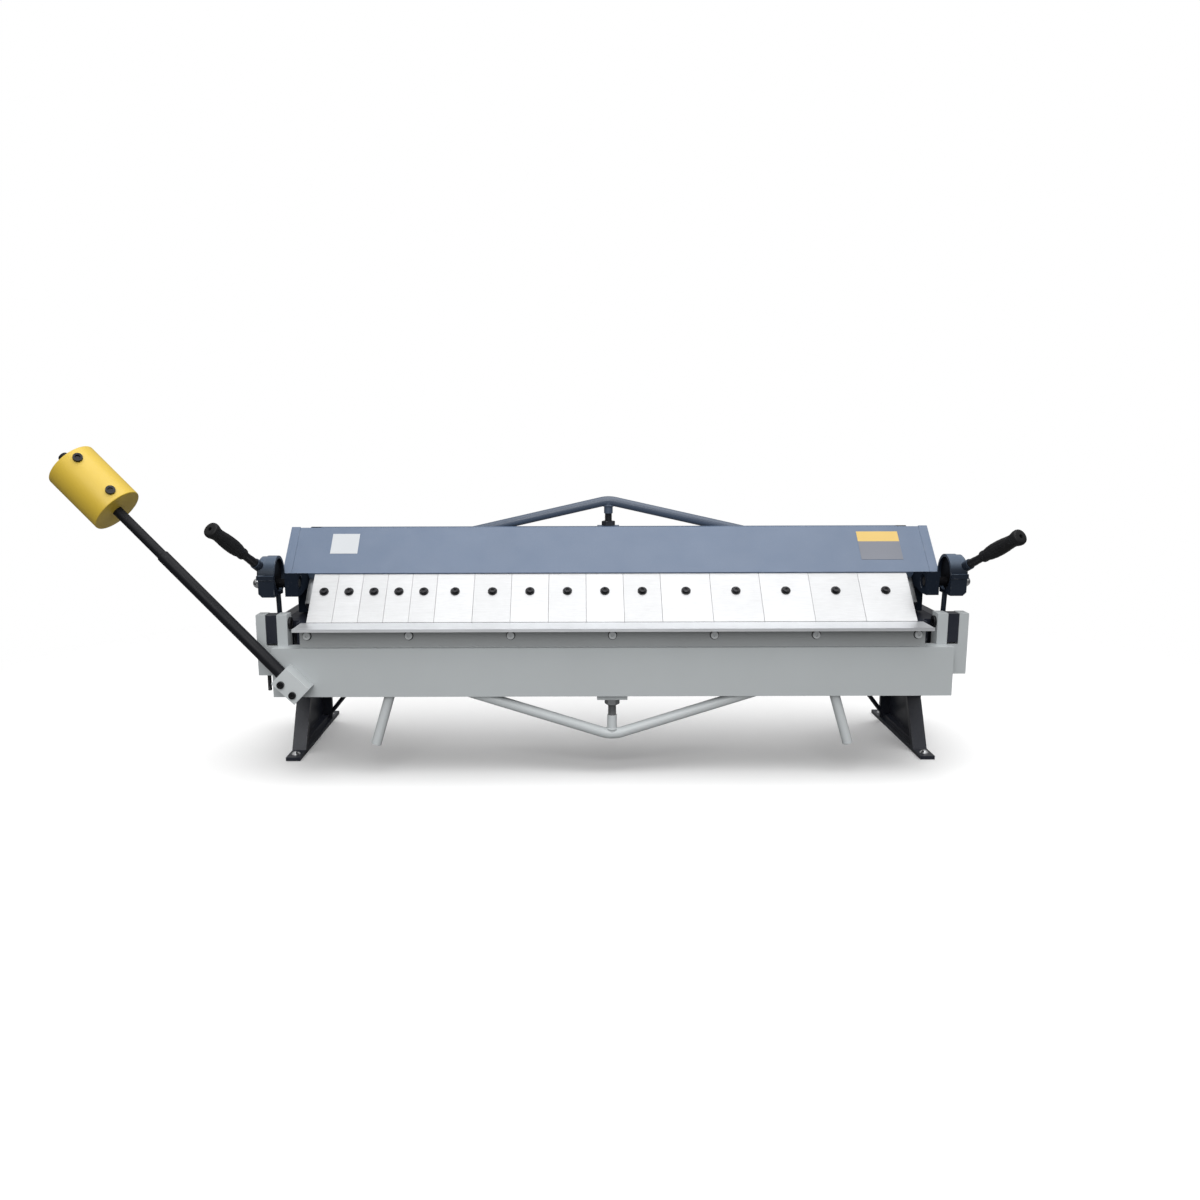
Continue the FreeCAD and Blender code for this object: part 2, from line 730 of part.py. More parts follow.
# Clamp beam: a folded face plate, top, back and floor, closed by a heavy cheek at each end
face_low = finger_long + finger_seam
face_high = face_low + face_tall
face_back = finger_thick
beam_top = sloped(face_high, face_back)[1] + beam_plate
beam = body("clamp_beam")
pad(beam, [sloped(face_low, -face_proud), sloped(face_high, -face_proud),
           sloped(face_high, face_back), sloped(face_low, face_back)], -face_half, face_half)
top_back, top_under = sloped(face_high, face_back)
pad(beam, [(top_back, top_under), (beam_back, top_under), (beam_back, beam_top),
           (top_back - beam_plate, beam_top)], -cheek_inner, cheek_inner)
pad(beam, rectangle(beam_back - beam_plate, beam_back, beam_low, top_under), -cheek_inner, cheek_inner)
floor_front = sloped(0, bar_back)[0] - sloped(0, bar_back)[1] + beam_low
pad(beam, [(floor_front, beam_low), (beam_back - beam_plate, beam_low),
           (beam_back - beam_plate, beam_low + beam_plate),
           (floor_front + beam_plate, beam_low + beam_plate)],
    -cheek_inner, cheek_inner)
tab_half = jack_nut_radius * 1.6
truss_back = beam_back + truss_radius
pad(beam, rectangle(beam_back, truss_back + jack_nut_radius, top_under, beam_top), -tab_half, tab_half)
node(beam, "clamp_beam")

shaft_high = ring_high - throw
cheek_front = ring_back - cheek_boss


def beam_end(name, side):
    part = body(f"{name}_beam_end")
    low, high = spread(side, cheek_inner, cheek_outer)
    cheek = [
        (cheek_front, shaft_high - cheek_boss),
        (ring_back + cheek_boss * 0.2, shaft_high - cheek_boss),
        (ring_back + cheek_boss * 1.3, shaft_high - cheek_boss * 0.8),
        (ring_back + cheek_boss * 2.8, shaft_high - cheek_boss * 0.5),
        (tail_leg_back, tail_leg_clear),
        (tail_front, tail_leg_clear),
        (tail_front, -pivot_drop),
        (tail_rear, -pivot_drop),
        (tail_rear, beam_low),
        (beam_back, beam_top),
        (top_back, top_under),
        sloped(face_low, face_back),
        sloped(face_low, -face_proud),
        (cheek_front, shaft_high + cheek_boss * 0.97),
    ]
    pad(part, cheek, low, high)
    pad(part, (pivot_back, -pivot_drop, pivot_boss), low, high)
    cap_low, cap_high = spread(side, face_half + side_gap / 2, beam_end_half)
    pad(part, [sloped(face_low, -face_proud), sloped(face_high + beam_end_proud, -face_proud),
               sloped(face_high + beam_end_proud, face_back), sloped(face_low, face_back)],
        cap_low, cap_high)
    rib_low, rib_high = spread(side, cheek_outer - beam_plate, beam_end_half)
    pad(part, [sloped(face_low + side_gap, face_back), sloped(face_high - beam_plate, face_back),
               sloped(face_high - beam_plate, face_back + beam_plate),
               sloped(face_low + side_gap, face_back + beam_plate)], rib_low, rib_high)
    pocket(part, (ring_back, shaft_high, shaft_radius + shaft_slack), low, high)
    pocket(part, (pivot_back, -pivot_drop, pivot_radius), low, high)
    return node(part, f"{name}_beam_end")


for name, side in BOTH_SIDES:
    beam_end(name, side)

pivot_head = beam_plate * 0.8
pivot_pin = turned("pivot_pin", [("round", pivot_radius * 1.5, pivot_head),
                                 ("round", pivot_radius, cheek_thick),
                                 ("round", pivot_radius * 1.6, frame_inner - cheek_outer - side_gap),
                                 ("round", pivot_radius, frame_wide + side_gap + beam_plate / 2)])
copies("beam_pivot_pins", pivot_pin, [
    (point((cheek_inner - pivot_head) * side, pivot_back, -pivot_drop), Vector(side, 0, 0))
    for _, side in BOTH_SIDES])


# Truss rods: a bent tube, a post at the bend and a jack bolt between the post and its seat
def truss(name, angle, back, bend_up, leg_half, post_foot, seat_up, sense):
    """Bent tube whose bend is highest (sense 1) or lowest (sense -1) in the middle."""
    slope = angle.value
    centre_up = bend_up - truss_bend * sense
    bend = solid("Part::Torus", f"{name}_bend", Radius1=truss_bend, Radius2=truss_radius,
                 Angle3=angle * 2)
    turn = Rotation(Vector(1, 0, 0), 90) * Rotation(Vector(0, 0, 1), 90 * sense - slope)
    bend.Placement = Placement(Vector(), turn)
    seat(bend, 0, back, centre_up)
    solids = [bend]
    start_across = truss_bend * sine(angle)
    start_up = centre_up + truss_bend * cosine(angle) * sense
    for _, side in BOTH_SIDES:
        leg = solid("Part::Cylinder", f"{name}_leg", Radius=truss_radius,
                    Height=(leg_half - start_across) / cosine(angle))
        along = Vector(side * math.cos(math.radians(slope)), 0, -sense * math.sin(math.radians(slope)))
        solids.append(stand(leg, along, start_across * side, back, start_up))
    post = solid("Part::Cylinder", f"{name}_post", Radius=post_radius,
                 Height=(bend_up - post_foot) * sense)
    solids.append(stand(post, Vector(0, 0, sense), 0, back, post_foot))
    bore = solid("Part::Cylinder", f"{name}_bore", Radius=jack_radius, Height=jack_nut_high)
    stand(bore, Vector(0, 0, sense), 0, back, post_foot)
    node(cut(f"{name}_drilled", union(f"{name}_joined", solids), bore), name)
    shank = (post_foot - seat_up) * sense
    jack = turned(f"{name}_jack", [("hex", jack_nut_radius, jack_nut_high),
                                   ("round", jack_radius, shank)])
    node(stand(jack, Vector(0, 0, sense), 0, back, seat_up), f"{name}_jack_bolt")


upper_truss_high = beam_top + upper_truss_rise
upper_post_foot = upper_truss_high - truss_radius - jack_nut_high * 1.6
upper_leg_half = cheek_inner - truss_radius * sine(upper_truss_angle)
truss("upper_truss", upper_truss_angle, truss_back, upper_truss_high, upper_leg_half,
      upper_post_foot, beam_top, 1)


# Eccentric clamps: a link from the frame, with a ring round an eccentric that turns on its shaft
link_across = ring_inner_face + side_gap + stem_radius
link_long = hypotenuse(link_pin_back - ring_back, ring_high + link_pin_drop)
hub_inner = ring_inner_face + ring_thick + side_gap
hub_outer = hub_inner + hub_thick
hub_low_outer = hub_inner + hub_waist
block_front = ring_back - hub_radius - ring_block_proud
ledge_level = ring_high + ledge_high
block_low = ring_high - ring_block_low
block_high = ledge_level - ledge_thick - side_gap
skirt_outer = ring_inner_face + ring_thick + skirt_wide
socket_radius = handle_radius + socket_wall
nut_high = shaft_high + shaft_nut_radius + side_gap


def clamp_link(name, side):
    part = body(f"{name}_clamp_link")
    low, high = spread(side, ring_inner_face, ring_inner_face + ring_thick)
    pad(part, (ring_back, ring_high, ring_outer), low, high)
    pad(part, rectangle(block_front, ring_back + ring_block_rear, block_low, block_high), low, high)
    skirt_low, skirt_high = spread(side, ring_inner_face, skirt_outer)
    pad(part, rectangle(block_front, block_front + skirt_wall, block_low, block_high), skirt_low, skirt_high)
    skirt_face = (skirt_outer * side).value
    soften(part, skirt_bevel, lambda edge: abs(edge.BoundBox.XMin - skirt_face) < 0.01
           and abs(edge.BoundBox.XMax - skirt_face) < 0.01
           and abs(edge.BoundBox.ZMax - block_low.value) < 0.01)
    eye_half = stem_radius * 0.8
    eye_low, eye_high = spread(side, link_across - eye_half, link_across + eye_half)
    rise = Vector(0, (ring_back - link_pin_back).value, (ring_high + link_pin_drop).value)
    base = (link_across * side, link_pin_back, -link_pin_drop)
    stem_long = link_long - (ring_bore + ring_outer) / 2
    drill(part, stem_radius, stem_long, base, rise, "PartDesign::AdditiveCylinder")
    pad(part, (link_pin_back, -link_pin_drop, link_eye), eye_low, eye_high)
    pocket(part, (ring_back, ring_high, ring_bore + running_gap), low, high)
    bore_low, bore_high = spread(side, link_across - stem_radius, link_across + stem_radius)
    pocket(part, (link_pin_back, -link_pin_drop, link_pin_radius + running_gap), bore_low, bore_high)
    return node(part, f"{name}_clamp_link")


def eccentric(name, side, rise):
    part = body(f"{name}_eccentric")
    low, high = spread(side, ring_inner_face + disc_recess, hub_inner)
    pad(part, (ring_back, ring_high, ring_bore), low, high)
    low, high = spread(side, hub_inner, hub_outer)
    pad(part, (ring_back, ring_high, hub_radius), low, high)
    outer_face = (hub_outer * side).value
    soften(part, hub_thick / 4, lambda edge: abs(edge.BoundBox.XMin - outer_face) < 0.01
           and abs(edge.BoundBox.XMax - outer_face) < 0.01)
    waist_low, waist_high = spread(side, hub_low_outer, hub_outer)
    waist = rectangle(ring_back - hub_radius, ring_back + hub_radius, ring_high - hub_radius, nut_high)
    pocket(part, waist, waist_low, waist_high)
    ledge_front = block_front - ledge_lip
    ledge_foot = ledge_level - ledge_thick
    low, high = spread(side, hub_inner, hub_outer - ledge_short)
    pad(part, rectangle(ledge_front, ring_back - hub_radius / 2, ledge_foot, ledge_level), low, high)
    low, high = spread(side, ring_inner_face, hub_outer - ledge_short)
    lip_back = ring_back - ring_outer - side_gap
    pad(part, rectangle(ledge_front, lip_back, ledge_foot, ledge_level), low, high)
    bore_low, bore_high = spread(side, ring_inner_face, hub_low_outer)
    pocket(part, (ring_back, shaft_high, shaft_radius), bore_low, bore_high)
    base, along = handle_axis(side, rise)
    drill(part, socket_radius, socket_long, base, along, "PartDesign::AdditiveCylinder")
    drill(part, handle_radius, handle_long, base, along)
    return node(part, f"{name}_eccentric")


def handle_axis(side, rise):
    """Base of a clamp handle inside its hub, and the way that it points."""
    base_across = hub_inner + socket_radius * cosine(handle_splay)
    base = (base_across * side, ring_back - handle_root * cosine(rise), ring_high + handle_root * sine(rise))
    flat = math.cos(math.radians(handle_splay.value))
    along = Vector(side * math.sin(math.radians(handle_splay.value)),
                   -flat * math.cos(math.radians(rise.value)),
                   flat * math.sin(math.radians(rise.value)))
    return base, along


def clamp_handle(name, side, rise):
    base, along = handle_axis(side, rise)
    bar = turned(f"{name}_handle_bar", [("round", handle_radius, handle_long - handle_radius)])
    node(stand(bar, along, *base), f"{name}_clamp_handle")
    collar = grip_long / 5
    waist = grip_long * 0.5
    levels = [(0, grip_neck, grip_neck * 1.1), (collar, grip_neck * 1.1, grip_belly),
              (waist, grip_belly, grip_neck * 1.15)]
    lengths = [collar, waist - collar, waist - collar]
    start = handle_long - grip_long
    solids = []
    for (level, radius, next_radius), length in zip(levels, lengths):
        solids.append(solid("Part::Cone", f"{name}_grip_part", Radius1=radius, Radius2=next_radius,
                            Height=length))
        bind(solids[-1], "Placement.Base.z", start + level)
    knob = solid("Part::Cone", f"{name}_grip_knob", Radius1=grip_neck * 1.15, Radius2=grip_end,
                 Height=collar)
    bind(knob, "Placement.Base.z", handle_long - collar)
    solids.append(knob)
    sleeve = solid("Part::Cylinder", f"{name}_grip_bore", Radius=handle_radius,
                   Height=handle_long - handle_radius)
    hole = solid("Part::Cylinder", f"{name}_grip_vent", Radius=handle_radius / 2, Height=handle_long)
    grip = cut(f"{name}_grip_hollow", union(f"{name}_grip_joined", solids),
               union(f"{name}_grip_cores", [sleeve, hole]))
    node(stand(grip, along, *base), f"{name}_handle_grip")


for (name, side), rise in zip(BOTH_SIDES, (left_handle_rise, right_handle_rise)):
    clamp_link(name, side)
    eccentric(name, side, rise)
    clamp_handle(name, side, rise)
    shaft_start = cheek_inner + side_gap * 5
    shaft_long = hub_low_outer - shaft_start
    shaft_bar = turned(f"{name}_shaft", [("round", shaft_radius, shaft_long),
                                         ("round", shaft_nut_radius, shaft_collar),
                                         ("hex", shaft_nut_radius, shaft_nut_thick)])
    shaft_dome = dome(f"{name}_shaft_dome", shaft_nut_radius * 0.84, shaft_dome_high,
                      shaft_long + shaft_collar + shaft_nut_thick)
    shaft = union(f"{name}_shaft_joined", [shaft_bar, shaft_dome])
    stand(shaft, Vector(side, 0, 0), shaft_start * side, ring_back, shaft_high)
    node(shaft, f"{name}_clamp_shaft")


# Apron: front plate, top plate and edge plate, with a gusset at each end
apron_inside = apron_front - apron_plate
top_under_apron = apron_top + apron_plate
base_under = apron_top + bracket_floor
gusset_inner = arm_inner + bracket_floor / 2
apron = body("apron")
pad(apron, rectangle(-apron_front, -apron_inside, -apron_bottom, -apron_top), -apron_half, apron_half)
pad(apron, rectangle(-apron_inside, -edge_plate_back, -top_under_apron, -apron_top), -arm_inner, arm_inner)
pad(apron, rectangle(-edge_plate_back - edge_plate_thick, -edge_plate_back, -apron_top, -blade_thick),
    -strip_half, strip_half)
for _, side in BOTH_SIDES:
    low, high = spread(side, arm_inner, apron_half)
    pad(apron, rectangle(-apron_inside, -arm_half_deep, -top_under_apron, -apron_top), low, high)
    low, high = spread(side, gusset_inner, gusset_inner + edge_plate_thick * 0.6)
    pad(apron, rectangle(-apron_inside, -edge_plate_back, -apron_bottom, -base_under), low, high)
seat_drop = apron_bottom + jack_nut_high
pad(apron, rectangle(-apron_inside, -apron_plate, -seat_drop, -seat_drop + blade_thick),
    -jack_nut_radius * 2, jack_nut_radius * 2)
pad(apron, rectangle(-apron_inside, -apron_inside + blade_thick, -seat_drop + blade_thick,
                     -apron_bottom + edge_plate_thick), -jack_nut_radius * 2, jack_nut_radius * 2)
gusset_middle = gusset_inner + edge_plate_thick * 0.3
end_screw_back = -arm_half_deep + blade_thick
end_screw_shank = end_screw_radius * 0.7
end_screw_top = (apron_top + base_under) / 2
for _, side in BOTH_SIDES:
    pocket(apron, (gusset_middle * side, end_screw_back, end_screw_shank), -apron_bottom, -base_under,
           "XY_Plane")
node(apron, "apron")

blade = body("bending_blade")
pad(blade, rectangle(-blade_reach, -bed_gap, -blade_thick, 0), -blade_half, blade_half)
strip_back = edge_plate_back + edge_plate_thick
strip = rectangle(-strip_back - blade_thick, -strip_back, -apron_top, -blade_thick)
pad(blade, strip, -strip_half, strip_half)
node(blade, "bending_blade")

blade_bolt_deep = edge_plate_thick * 0.8
blade_bolt = turned("blade_bolt", [("round", blade_bolt_radius, blade_bolt_deep + blade_thick),
                                   ("round", blade_bolt_head, blade_bolt_radius)])
BLADE_BOLTS_A_SIDE = 3
blade_bolt_pitch = (strip_half - blade_bolt_inset) / BLADE_BOLTS_A_SIDE
blade_bolt_places = [blade_bolt_pitch * count
                     for count in range(-BLADE_BOLTS_A_SIDE, BLADE_BOLTS_A_SIDE + 1)]
for place in blade_bolt_places:
    for part, back, deep in ((apron, strip_back, blade_bolt_deep),
                             (blade, strip_back + blade_thick, blade_thick)):
        drill(part, blade_bolt_radius, deep, (place, -back, -blade_bolt_drop), Vector(0, 1, 0))
copies("blade_bolts", blade_bolt, [
    (point(place, -strip_back + blade_bolt_deep, -blade_bolt_drop), Vector(0, -1, 0))
    for place in blade_bolt_places])


arm_drop = base_under + arm_foot_tall


def apron_bracket(name, side):
    part = body(f"{name}_apron_bracket")
    floor_low, floor_high = spread(side, arm_inner, arm_outer)
    pad(part, rectangle(-arm_half_deep, arm_half_deep, -base_under, -apron_top), floor_low, floor_high)
    low, high = spread(side, arm_inner, frame_inner - side_gap)
    pad(part, rectangle(-arm_half_deep, arm_half_deep, -apron_top, arm_high), low, high)
    low, high = spread(side, frame_outer + side_gap, arm_outer)
    pad(part, rectangle(-arm_half_deep, arm_half_deep, -apron_top, arm_high), low, high)
    low, high = spread(side, apron_half, arm_outer)
    pad(part, rectangle(-arm_half_deep, arm_half_deep, -arm_drop, -base_under), low, high)
    pocket(part, (0, 0, pin_radius), floor_low, floor_high)
    pocket(part, (gusset_middle * side, end_screw_back, end_screw_shank), -base_under, -end_screw_top,
           "XY_Plane")
    if side < 0:
        low, high = spread(side, stop_rod_across - stop_rod_radius * 2,
                           stop_rod_across + stop_rod_radius * 2)
        lug = rectangle(arm_half_deep, stop_rod_back + stop_rod_radius * 1.8, -base_under, -apron_top)
        pad(part, lug, low, high)
        pocket(part, (-stop_rod_across, stop_rod_back, stop_rod_radius), -base_under, -apron_top, "XY_Plane")
    return node(part, f"{name}_apron_bracket")


stop_rod_across = (frame_outer + side_gap + arm_outer) / 2
stop_rod_back = arm_half_deep + stop_rod_radius * 1.5
for name, side in BOTH_SIDES:
    apron_bracket(name, side)
stop_rod = turned("stop_rod", [("round", stop_rod_radius, stop_rod_long)])
stop_rod_foot = arm_drop + stop_rod_radius * 10
node(stand(stop_rod, Vector(0, 0, 1), -stop_rod_across, stop_rod_back, -stop_rod_foot), "bend_stop_rod")

end_screw = turned("end_screw", [("round", end_screw_radius, end_screw_radius),
                                 ("round", end_screw_shank, apron_bottom - end_screw_top)])
copies("bracket_screws", end_screw, [
    (point(gusset_middle * side, end_screw_back, -apron_bottom - end_screw_radius), Vector(0, 0, 1))
    for _, side in BOTH_SIDES])

hinge_pin = turned("hinge_pin", [("round", pin_radius, arm_outer + pin_end_proud - arm_inner),
                                 ("round", pin_head_radius, pin_head_thick)],
                   socket=(pin_radius * 0.8, pin_radius * 0.75))
copies("hinge_pins", hinge_pin, [
    (point((arm_outer + pin_end_proud) * side, 0, 0), Vector(-side, 0, 0)) for _, side in BOTH_SIDES])

lower_truss_back = -apron_inside + truss_radius
lower_truss_drop = apron_bottom + lower_truss_fall
lower_leg_half = ((lower_truss_drop - top_under_apron - truss_radius * cosine(lower_truss_angle)
                   - truss_bend * (1 - cosine(lower_truss_angle)))
                  * cosine(lower_truss_angle) / sine(lower_truss_angle)
                  + truss_bend * sine(lower_truss_angle))
truss("lower_truss", lower_truss_angle, lower_truss_back, -lower_truss_drop, lower_leg_half,
      -seat_drop - lower_jack_long, -seat_drop, -1)

lift_bar_top = apron_half - lift_bar_inset
lift_bar_fall = lift_bar_grip + lift_bar_reach
for name, side in BOTH_SIDES:
    bar = turned(f"{name}_bar", [("round", lift_bar_radius, hypotenuse(lift_bar_splay, lift_bar_fall))])
    along = Vector(side * lift_bar_splay.value, 0, -lift_bar_fall.value)
    stand(bar, along, lift_bar_top * side, -apron_inside + lift_bar_radius, lift_bar_grip - apron_bottom)
    node(bar, f"{name}_lift_bar")


# Counterweight arm: a block on the apron's left end, a tube, a rod and the sliding weight
rise_value = math.radians(arm_rise.value)
lean_value = math.radians(arm_lean.value)
arm_along = Vector(-math.cos(rise_value) * math.cos(lean_value), math.sin(lean_value),
                   math.sin(rise_value) * math.cos(lean_value))
along_text = (-cosine(arm_rise) * cosine(arm_lean), sine(arm_lean), sine(arm_rise) * cosine(arm_lean))
block_side = apron_half - block_inset
block_mouth = (-block_side, -block_ahead, -block_drop)


def on_arm(run):
    """Across, back and up of the point that lies this far along the arm from the block's mouth."""
    return tuple(start + step * run for start, step in zip(block_mouth, along_text))


def across_block(run, off):
    """Across and up of a point of the block's face: run along it, off to its lower side."""
    return (-block_side - cosine(arm_rise) * run - sine(arm_rise) * off,
            -block_drop + sine(arm_rise) * run - cosine(arm_rise) * off)


block = solid("Part::Box", "block_body", Length=block_long, Width=block_thick, Height=block_wide)
block.Placement = Placement(Vector(), Rotation(Vector(0, 1, 0), 180 + arm_rise.value))
corner_across, corner_up = across_block(-block_long, -block_wide / 2)
seat(block, corner_across, -apron_front - block_thick, corner_up)
socket_deep = block_long * 0.75
socket = solid("Part::Cylinder", "block_socket", Radius=tube_radius, Height=block_long)
stand(socket, arm_along, *on_arm(-socket_deep))
block_screw_deep = finger_screw_radius * 0.6
block_screw = turned("block_screw", [("round", finger_screw_radius, block_screw_deep),
                                     ("round", finger_screw_head, finger_screw_head)],
                     socket=(finger_screw_radius * 0.9, finger_screw_radius))
block_screw_spots = [across_block(-block_long / 2 + block_long * shift, block_wide * 0.22)
                     for shift in (-0.25, 0.25)]
screw_holes = []
for across, up in block_screw_spots:
    hole = solid("Part::Cylinder", "block_screw_hole", Radius=finger_screw_radius, Height=block_screw_deep)
    screw_holes.append(stand(hole, Vector(0, 1, 0), across, -apron_front - block_thick, up))
node(cut("block_cut", block, union("block_cuts", [socket, *screw_holes])), "arm_block")
copies("arm_block_screws", block_screw, [
    (point(across, -apron_front - block_thick + block_screw_deep, up), Vector(0, -1, 0))
    for across, up in block_screw_spots])

rod_start = tube_long - tube_radius * 4
tube = solid("Part::Cylinder", "tube_body", Radius=tube_radius, Height=tube_long + socket_deep)
stand(tube, arm_along, *on_arm(-socket_deep))
tube_bore = solid("Part::Cylinder", "tube_bore", Radius=rod_radius, Height=tube_long - rod_start)
stand(tube_bore, arm_along, *on_arm(rod_start))
node(cut("tube_bored", tube, tube_bore), "counterweight_tube")
rod = turned("rod", [("round", rod_radius, rod_long - rod_start)])
node(stand(rod, arm_along, *on_arm(rod_start)), "counterweight_rod")

# The weight's two clamping screws point forwards and up, square to the rod
forward = Vector(0, -1, 0)
square_out = (forward - arm_along * forward.dot(arm_along)).normalize()
screw_out = Rotation(arm_along, weight_screw_roll.value).multVec(square_out)
weight_body = turned("weight_body", [("round", weight_radius, weight_long)], bore=rod_radius + running_gap)
stand(weight_body, arm_along, *on_arm(weight_start))
weight_screw_deep = weight_radius * 0.25
weight_screw = turned("weight_screw", [("round", weight_screw_radius, weight_screw_deep),
                                       ("round", weight_screw_radius * 1.8, weight_screw_radius)],
                      socket=(weight_screw_radius, weight_screw_radius * 0.8))
weight_screw_places = []
weight_holes = []
for run in (weight_start + weight_screw_inset, weight_start + weight_long - weight_screw_inset):
    spot = point(*on_arm(run)) + screw_out * (weight_radius - weight_screw_deep).value
    weight_screw_places.append((spot, screw_out))
    hole = solid("Part::Cylinder", "weight_hole", Radius=weight_screw_radius, Height=weight_radius)
    hole.Placement = Placement(spot, Rotation(Vector(0, 0, 1), screw_out))
    weight_holes.append(hole)
node(cut("weight_cut", weight_body, union("weight_cuts", weight_holes)), "counterweight")
copies("counterweight_screws", weight_screw, weight_screw_places)


# Every feature has to be sound, and every pocket has to cut, before anything is written
doc.recompute()
for thing in doc.Objects:
    assert not {"Invalid", "Error"} & set(thing.State), f"{thing.Label}: {thing.State}"
    if thing.TypeId in ("PartDesign::Pocket", "PartDesign::SubtractiveCylinder"):
        before = thing.BaseFeature.Shape.Volume
        assert thing.Shape.Volume < before - 1, f"{thing.Label} cuts nothing"
for piece in nodes:
    shape = piece.Shape
    assert not shape.isNull() and shape.isValid(), f"{piece.Label} has no sound shape"
    shape.exportStep(f"parts/{piece.Label}.step")
    print(f"{piece.Label}: {len(shape.Solids)} solids, {shape.Volume / 1000:.1f} cm3")
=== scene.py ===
import math

import bmesh
import bpy
from mathutils import Matrix, Vector


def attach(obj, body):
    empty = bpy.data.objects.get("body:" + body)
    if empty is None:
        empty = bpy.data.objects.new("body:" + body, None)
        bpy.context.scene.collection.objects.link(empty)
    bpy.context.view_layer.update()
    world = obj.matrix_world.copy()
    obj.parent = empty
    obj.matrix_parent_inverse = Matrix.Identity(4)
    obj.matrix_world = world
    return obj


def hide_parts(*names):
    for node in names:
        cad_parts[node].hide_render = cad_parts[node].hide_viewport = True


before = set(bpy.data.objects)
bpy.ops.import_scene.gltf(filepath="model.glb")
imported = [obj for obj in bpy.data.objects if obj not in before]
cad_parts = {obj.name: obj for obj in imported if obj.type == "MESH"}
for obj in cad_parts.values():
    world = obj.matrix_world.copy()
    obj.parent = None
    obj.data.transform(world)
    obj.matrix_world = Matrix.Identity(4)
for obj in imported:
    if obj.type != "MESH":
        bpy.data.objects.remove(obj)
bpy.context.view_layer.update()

SIDES = (("left", -1), ("right", 1))
MM = 0.001


# Side frames: heavy cast frames with a round boss at the apron's hinge, flanged legs and a foot.
# Their edges are broken with a grinder before they are sprayed in dark blue-grey enamel.
FRAME_COLOUR = (0.014, 0.0165, 0.026)
FRAME_EDGE = 1.4 * MM
DUST_TONE = (0.45, 0.45, 0.44, 1)
WEAR_REACH = 2.2 * MM
PEEL_DEPTH = 0.6 * MM
HARD_CORNER = math.radians(32)


def fill(node, inputs):
    """Sets a node's inputs to values, or joins them to other nodes' sockets."""
    for name, value in inputs.items():
        if isinstance(value, bpy.types.NodeSocket):
            node.id_data.links.new(value, node.inputs[name])
        else:
            node.inputs[name].default_value = value
    return node


def put(tree, kind, inputs=None, **settings):
    """A new node of a tree, with its settings and its inputs."""
    node = tree.nodes.new(kind)
    for name, value in settings.items():
        setattr(node, name, value)
    return fill(node, inputs or {})


def maths(tree, operation, *values, **settings):
    """The result of one step of arithmetic."""
    return put(tree, "ShaderNodeMath", dict(enumerate(values)), operation=operation, **settings).outputs[0]


def noise(tree, place, scale, detail=2.0, rough=0.5):
    """A cloud of noise between 0 and 1."""
    return put(tree, "ShaderNodeTexNoise",
               {"Vector": place, "Scale": scale, "Detail": detail, "Roughness": rough}).outputs["Fac"]


def ranged(tree, value, low, high, lowest=0.0, highest=1.0, **settings):
    """A value brought from one range into another, held within it."""
    return put(tree, "ShaderNodeMapRange", {"Value": value, "From Min": low, "From Max": high,
                                            "To Min": lowest, "To Max": highest}, **settings).outputs[0]


def blend(tree, share, first, second):
    """One colour, or a share of another."""
    return put(tree, "ShaderNodeMix", {0: share, 6: first, 7: second}, data_type="RGBA").outputs[2]


def scaled(tree, colour, level):
    """A colour made lighter or darker."""
    return put(tree, "ShaderNodeVectorMath", {0: colour, "Scale": level}, operation="SCALE").outputs[0]


def bumped(tree, strength, depth, height):
    """The normal of a surface with a fine relief."""
    return put(tree, "ShaderNodeBump", {"Strength": strength, "Distance": depth, "Height": height}).outputs[0]


def own_place(tree, axis=None):
    """The place on the piece, or its distance along one axis."""
    place = put(tree, "ShaderNodeTexCoord").outputs["Object"]
    return put(tree, "ShaderNodeSeparateXYZ", {0: place}).outputs[axis] if axis else place


def object_of(name, data):
    """A new object of a mesh, a lamp or a camera, in the scene."""
    thing = bpy.data.objects.new(name, data)
    bpy.context.scene.collection.objects.link(thing)
    return thing


def drawn(name, points, edges, faces):
    """A new object of a mesh that is given by its points."""
    mesh = bpy.data.meshes.new(name)
    mesh.from_pydata([tuple(point) for point in points], edges, faces)
    return object_of(name, mesh)


def worked(name, work):
    """A new object of a finished bmesh."""
    mesh = bpy.data.meshes.new(name)
    work.to_mesh(mesh)
    work.free()
    return object_of(name, mesh)


def new_group(name, kind, inputs, outputs):
    """An empty node group and its two end nodes. An input is given as its kind or as its value."""
    tree = bpy.data.node_groups.new(name, kind)
    for label, value in inputs.items():
        shape = len(value) if isinstance(value, tuple) else type(value)
        socket = {float: "Float", int: "Int", 3: "Vector", 4: "Color"}.get(shape, value)
        made = tree.interface.new_socket(label, in_out="INPUT", socket_type=f"NodeSocket{socket}")
        if socket != value:
            made.default_value = value
    for label, socket in outputs.items():
        tree.interface.new_socket(label, in_out="OUTPUT", socket_type=f"NodeSocket{socket}")
    return tree, tree.nodes.new("NodeGroupInput"), tree.nodes.new("NodeGroupOutput")


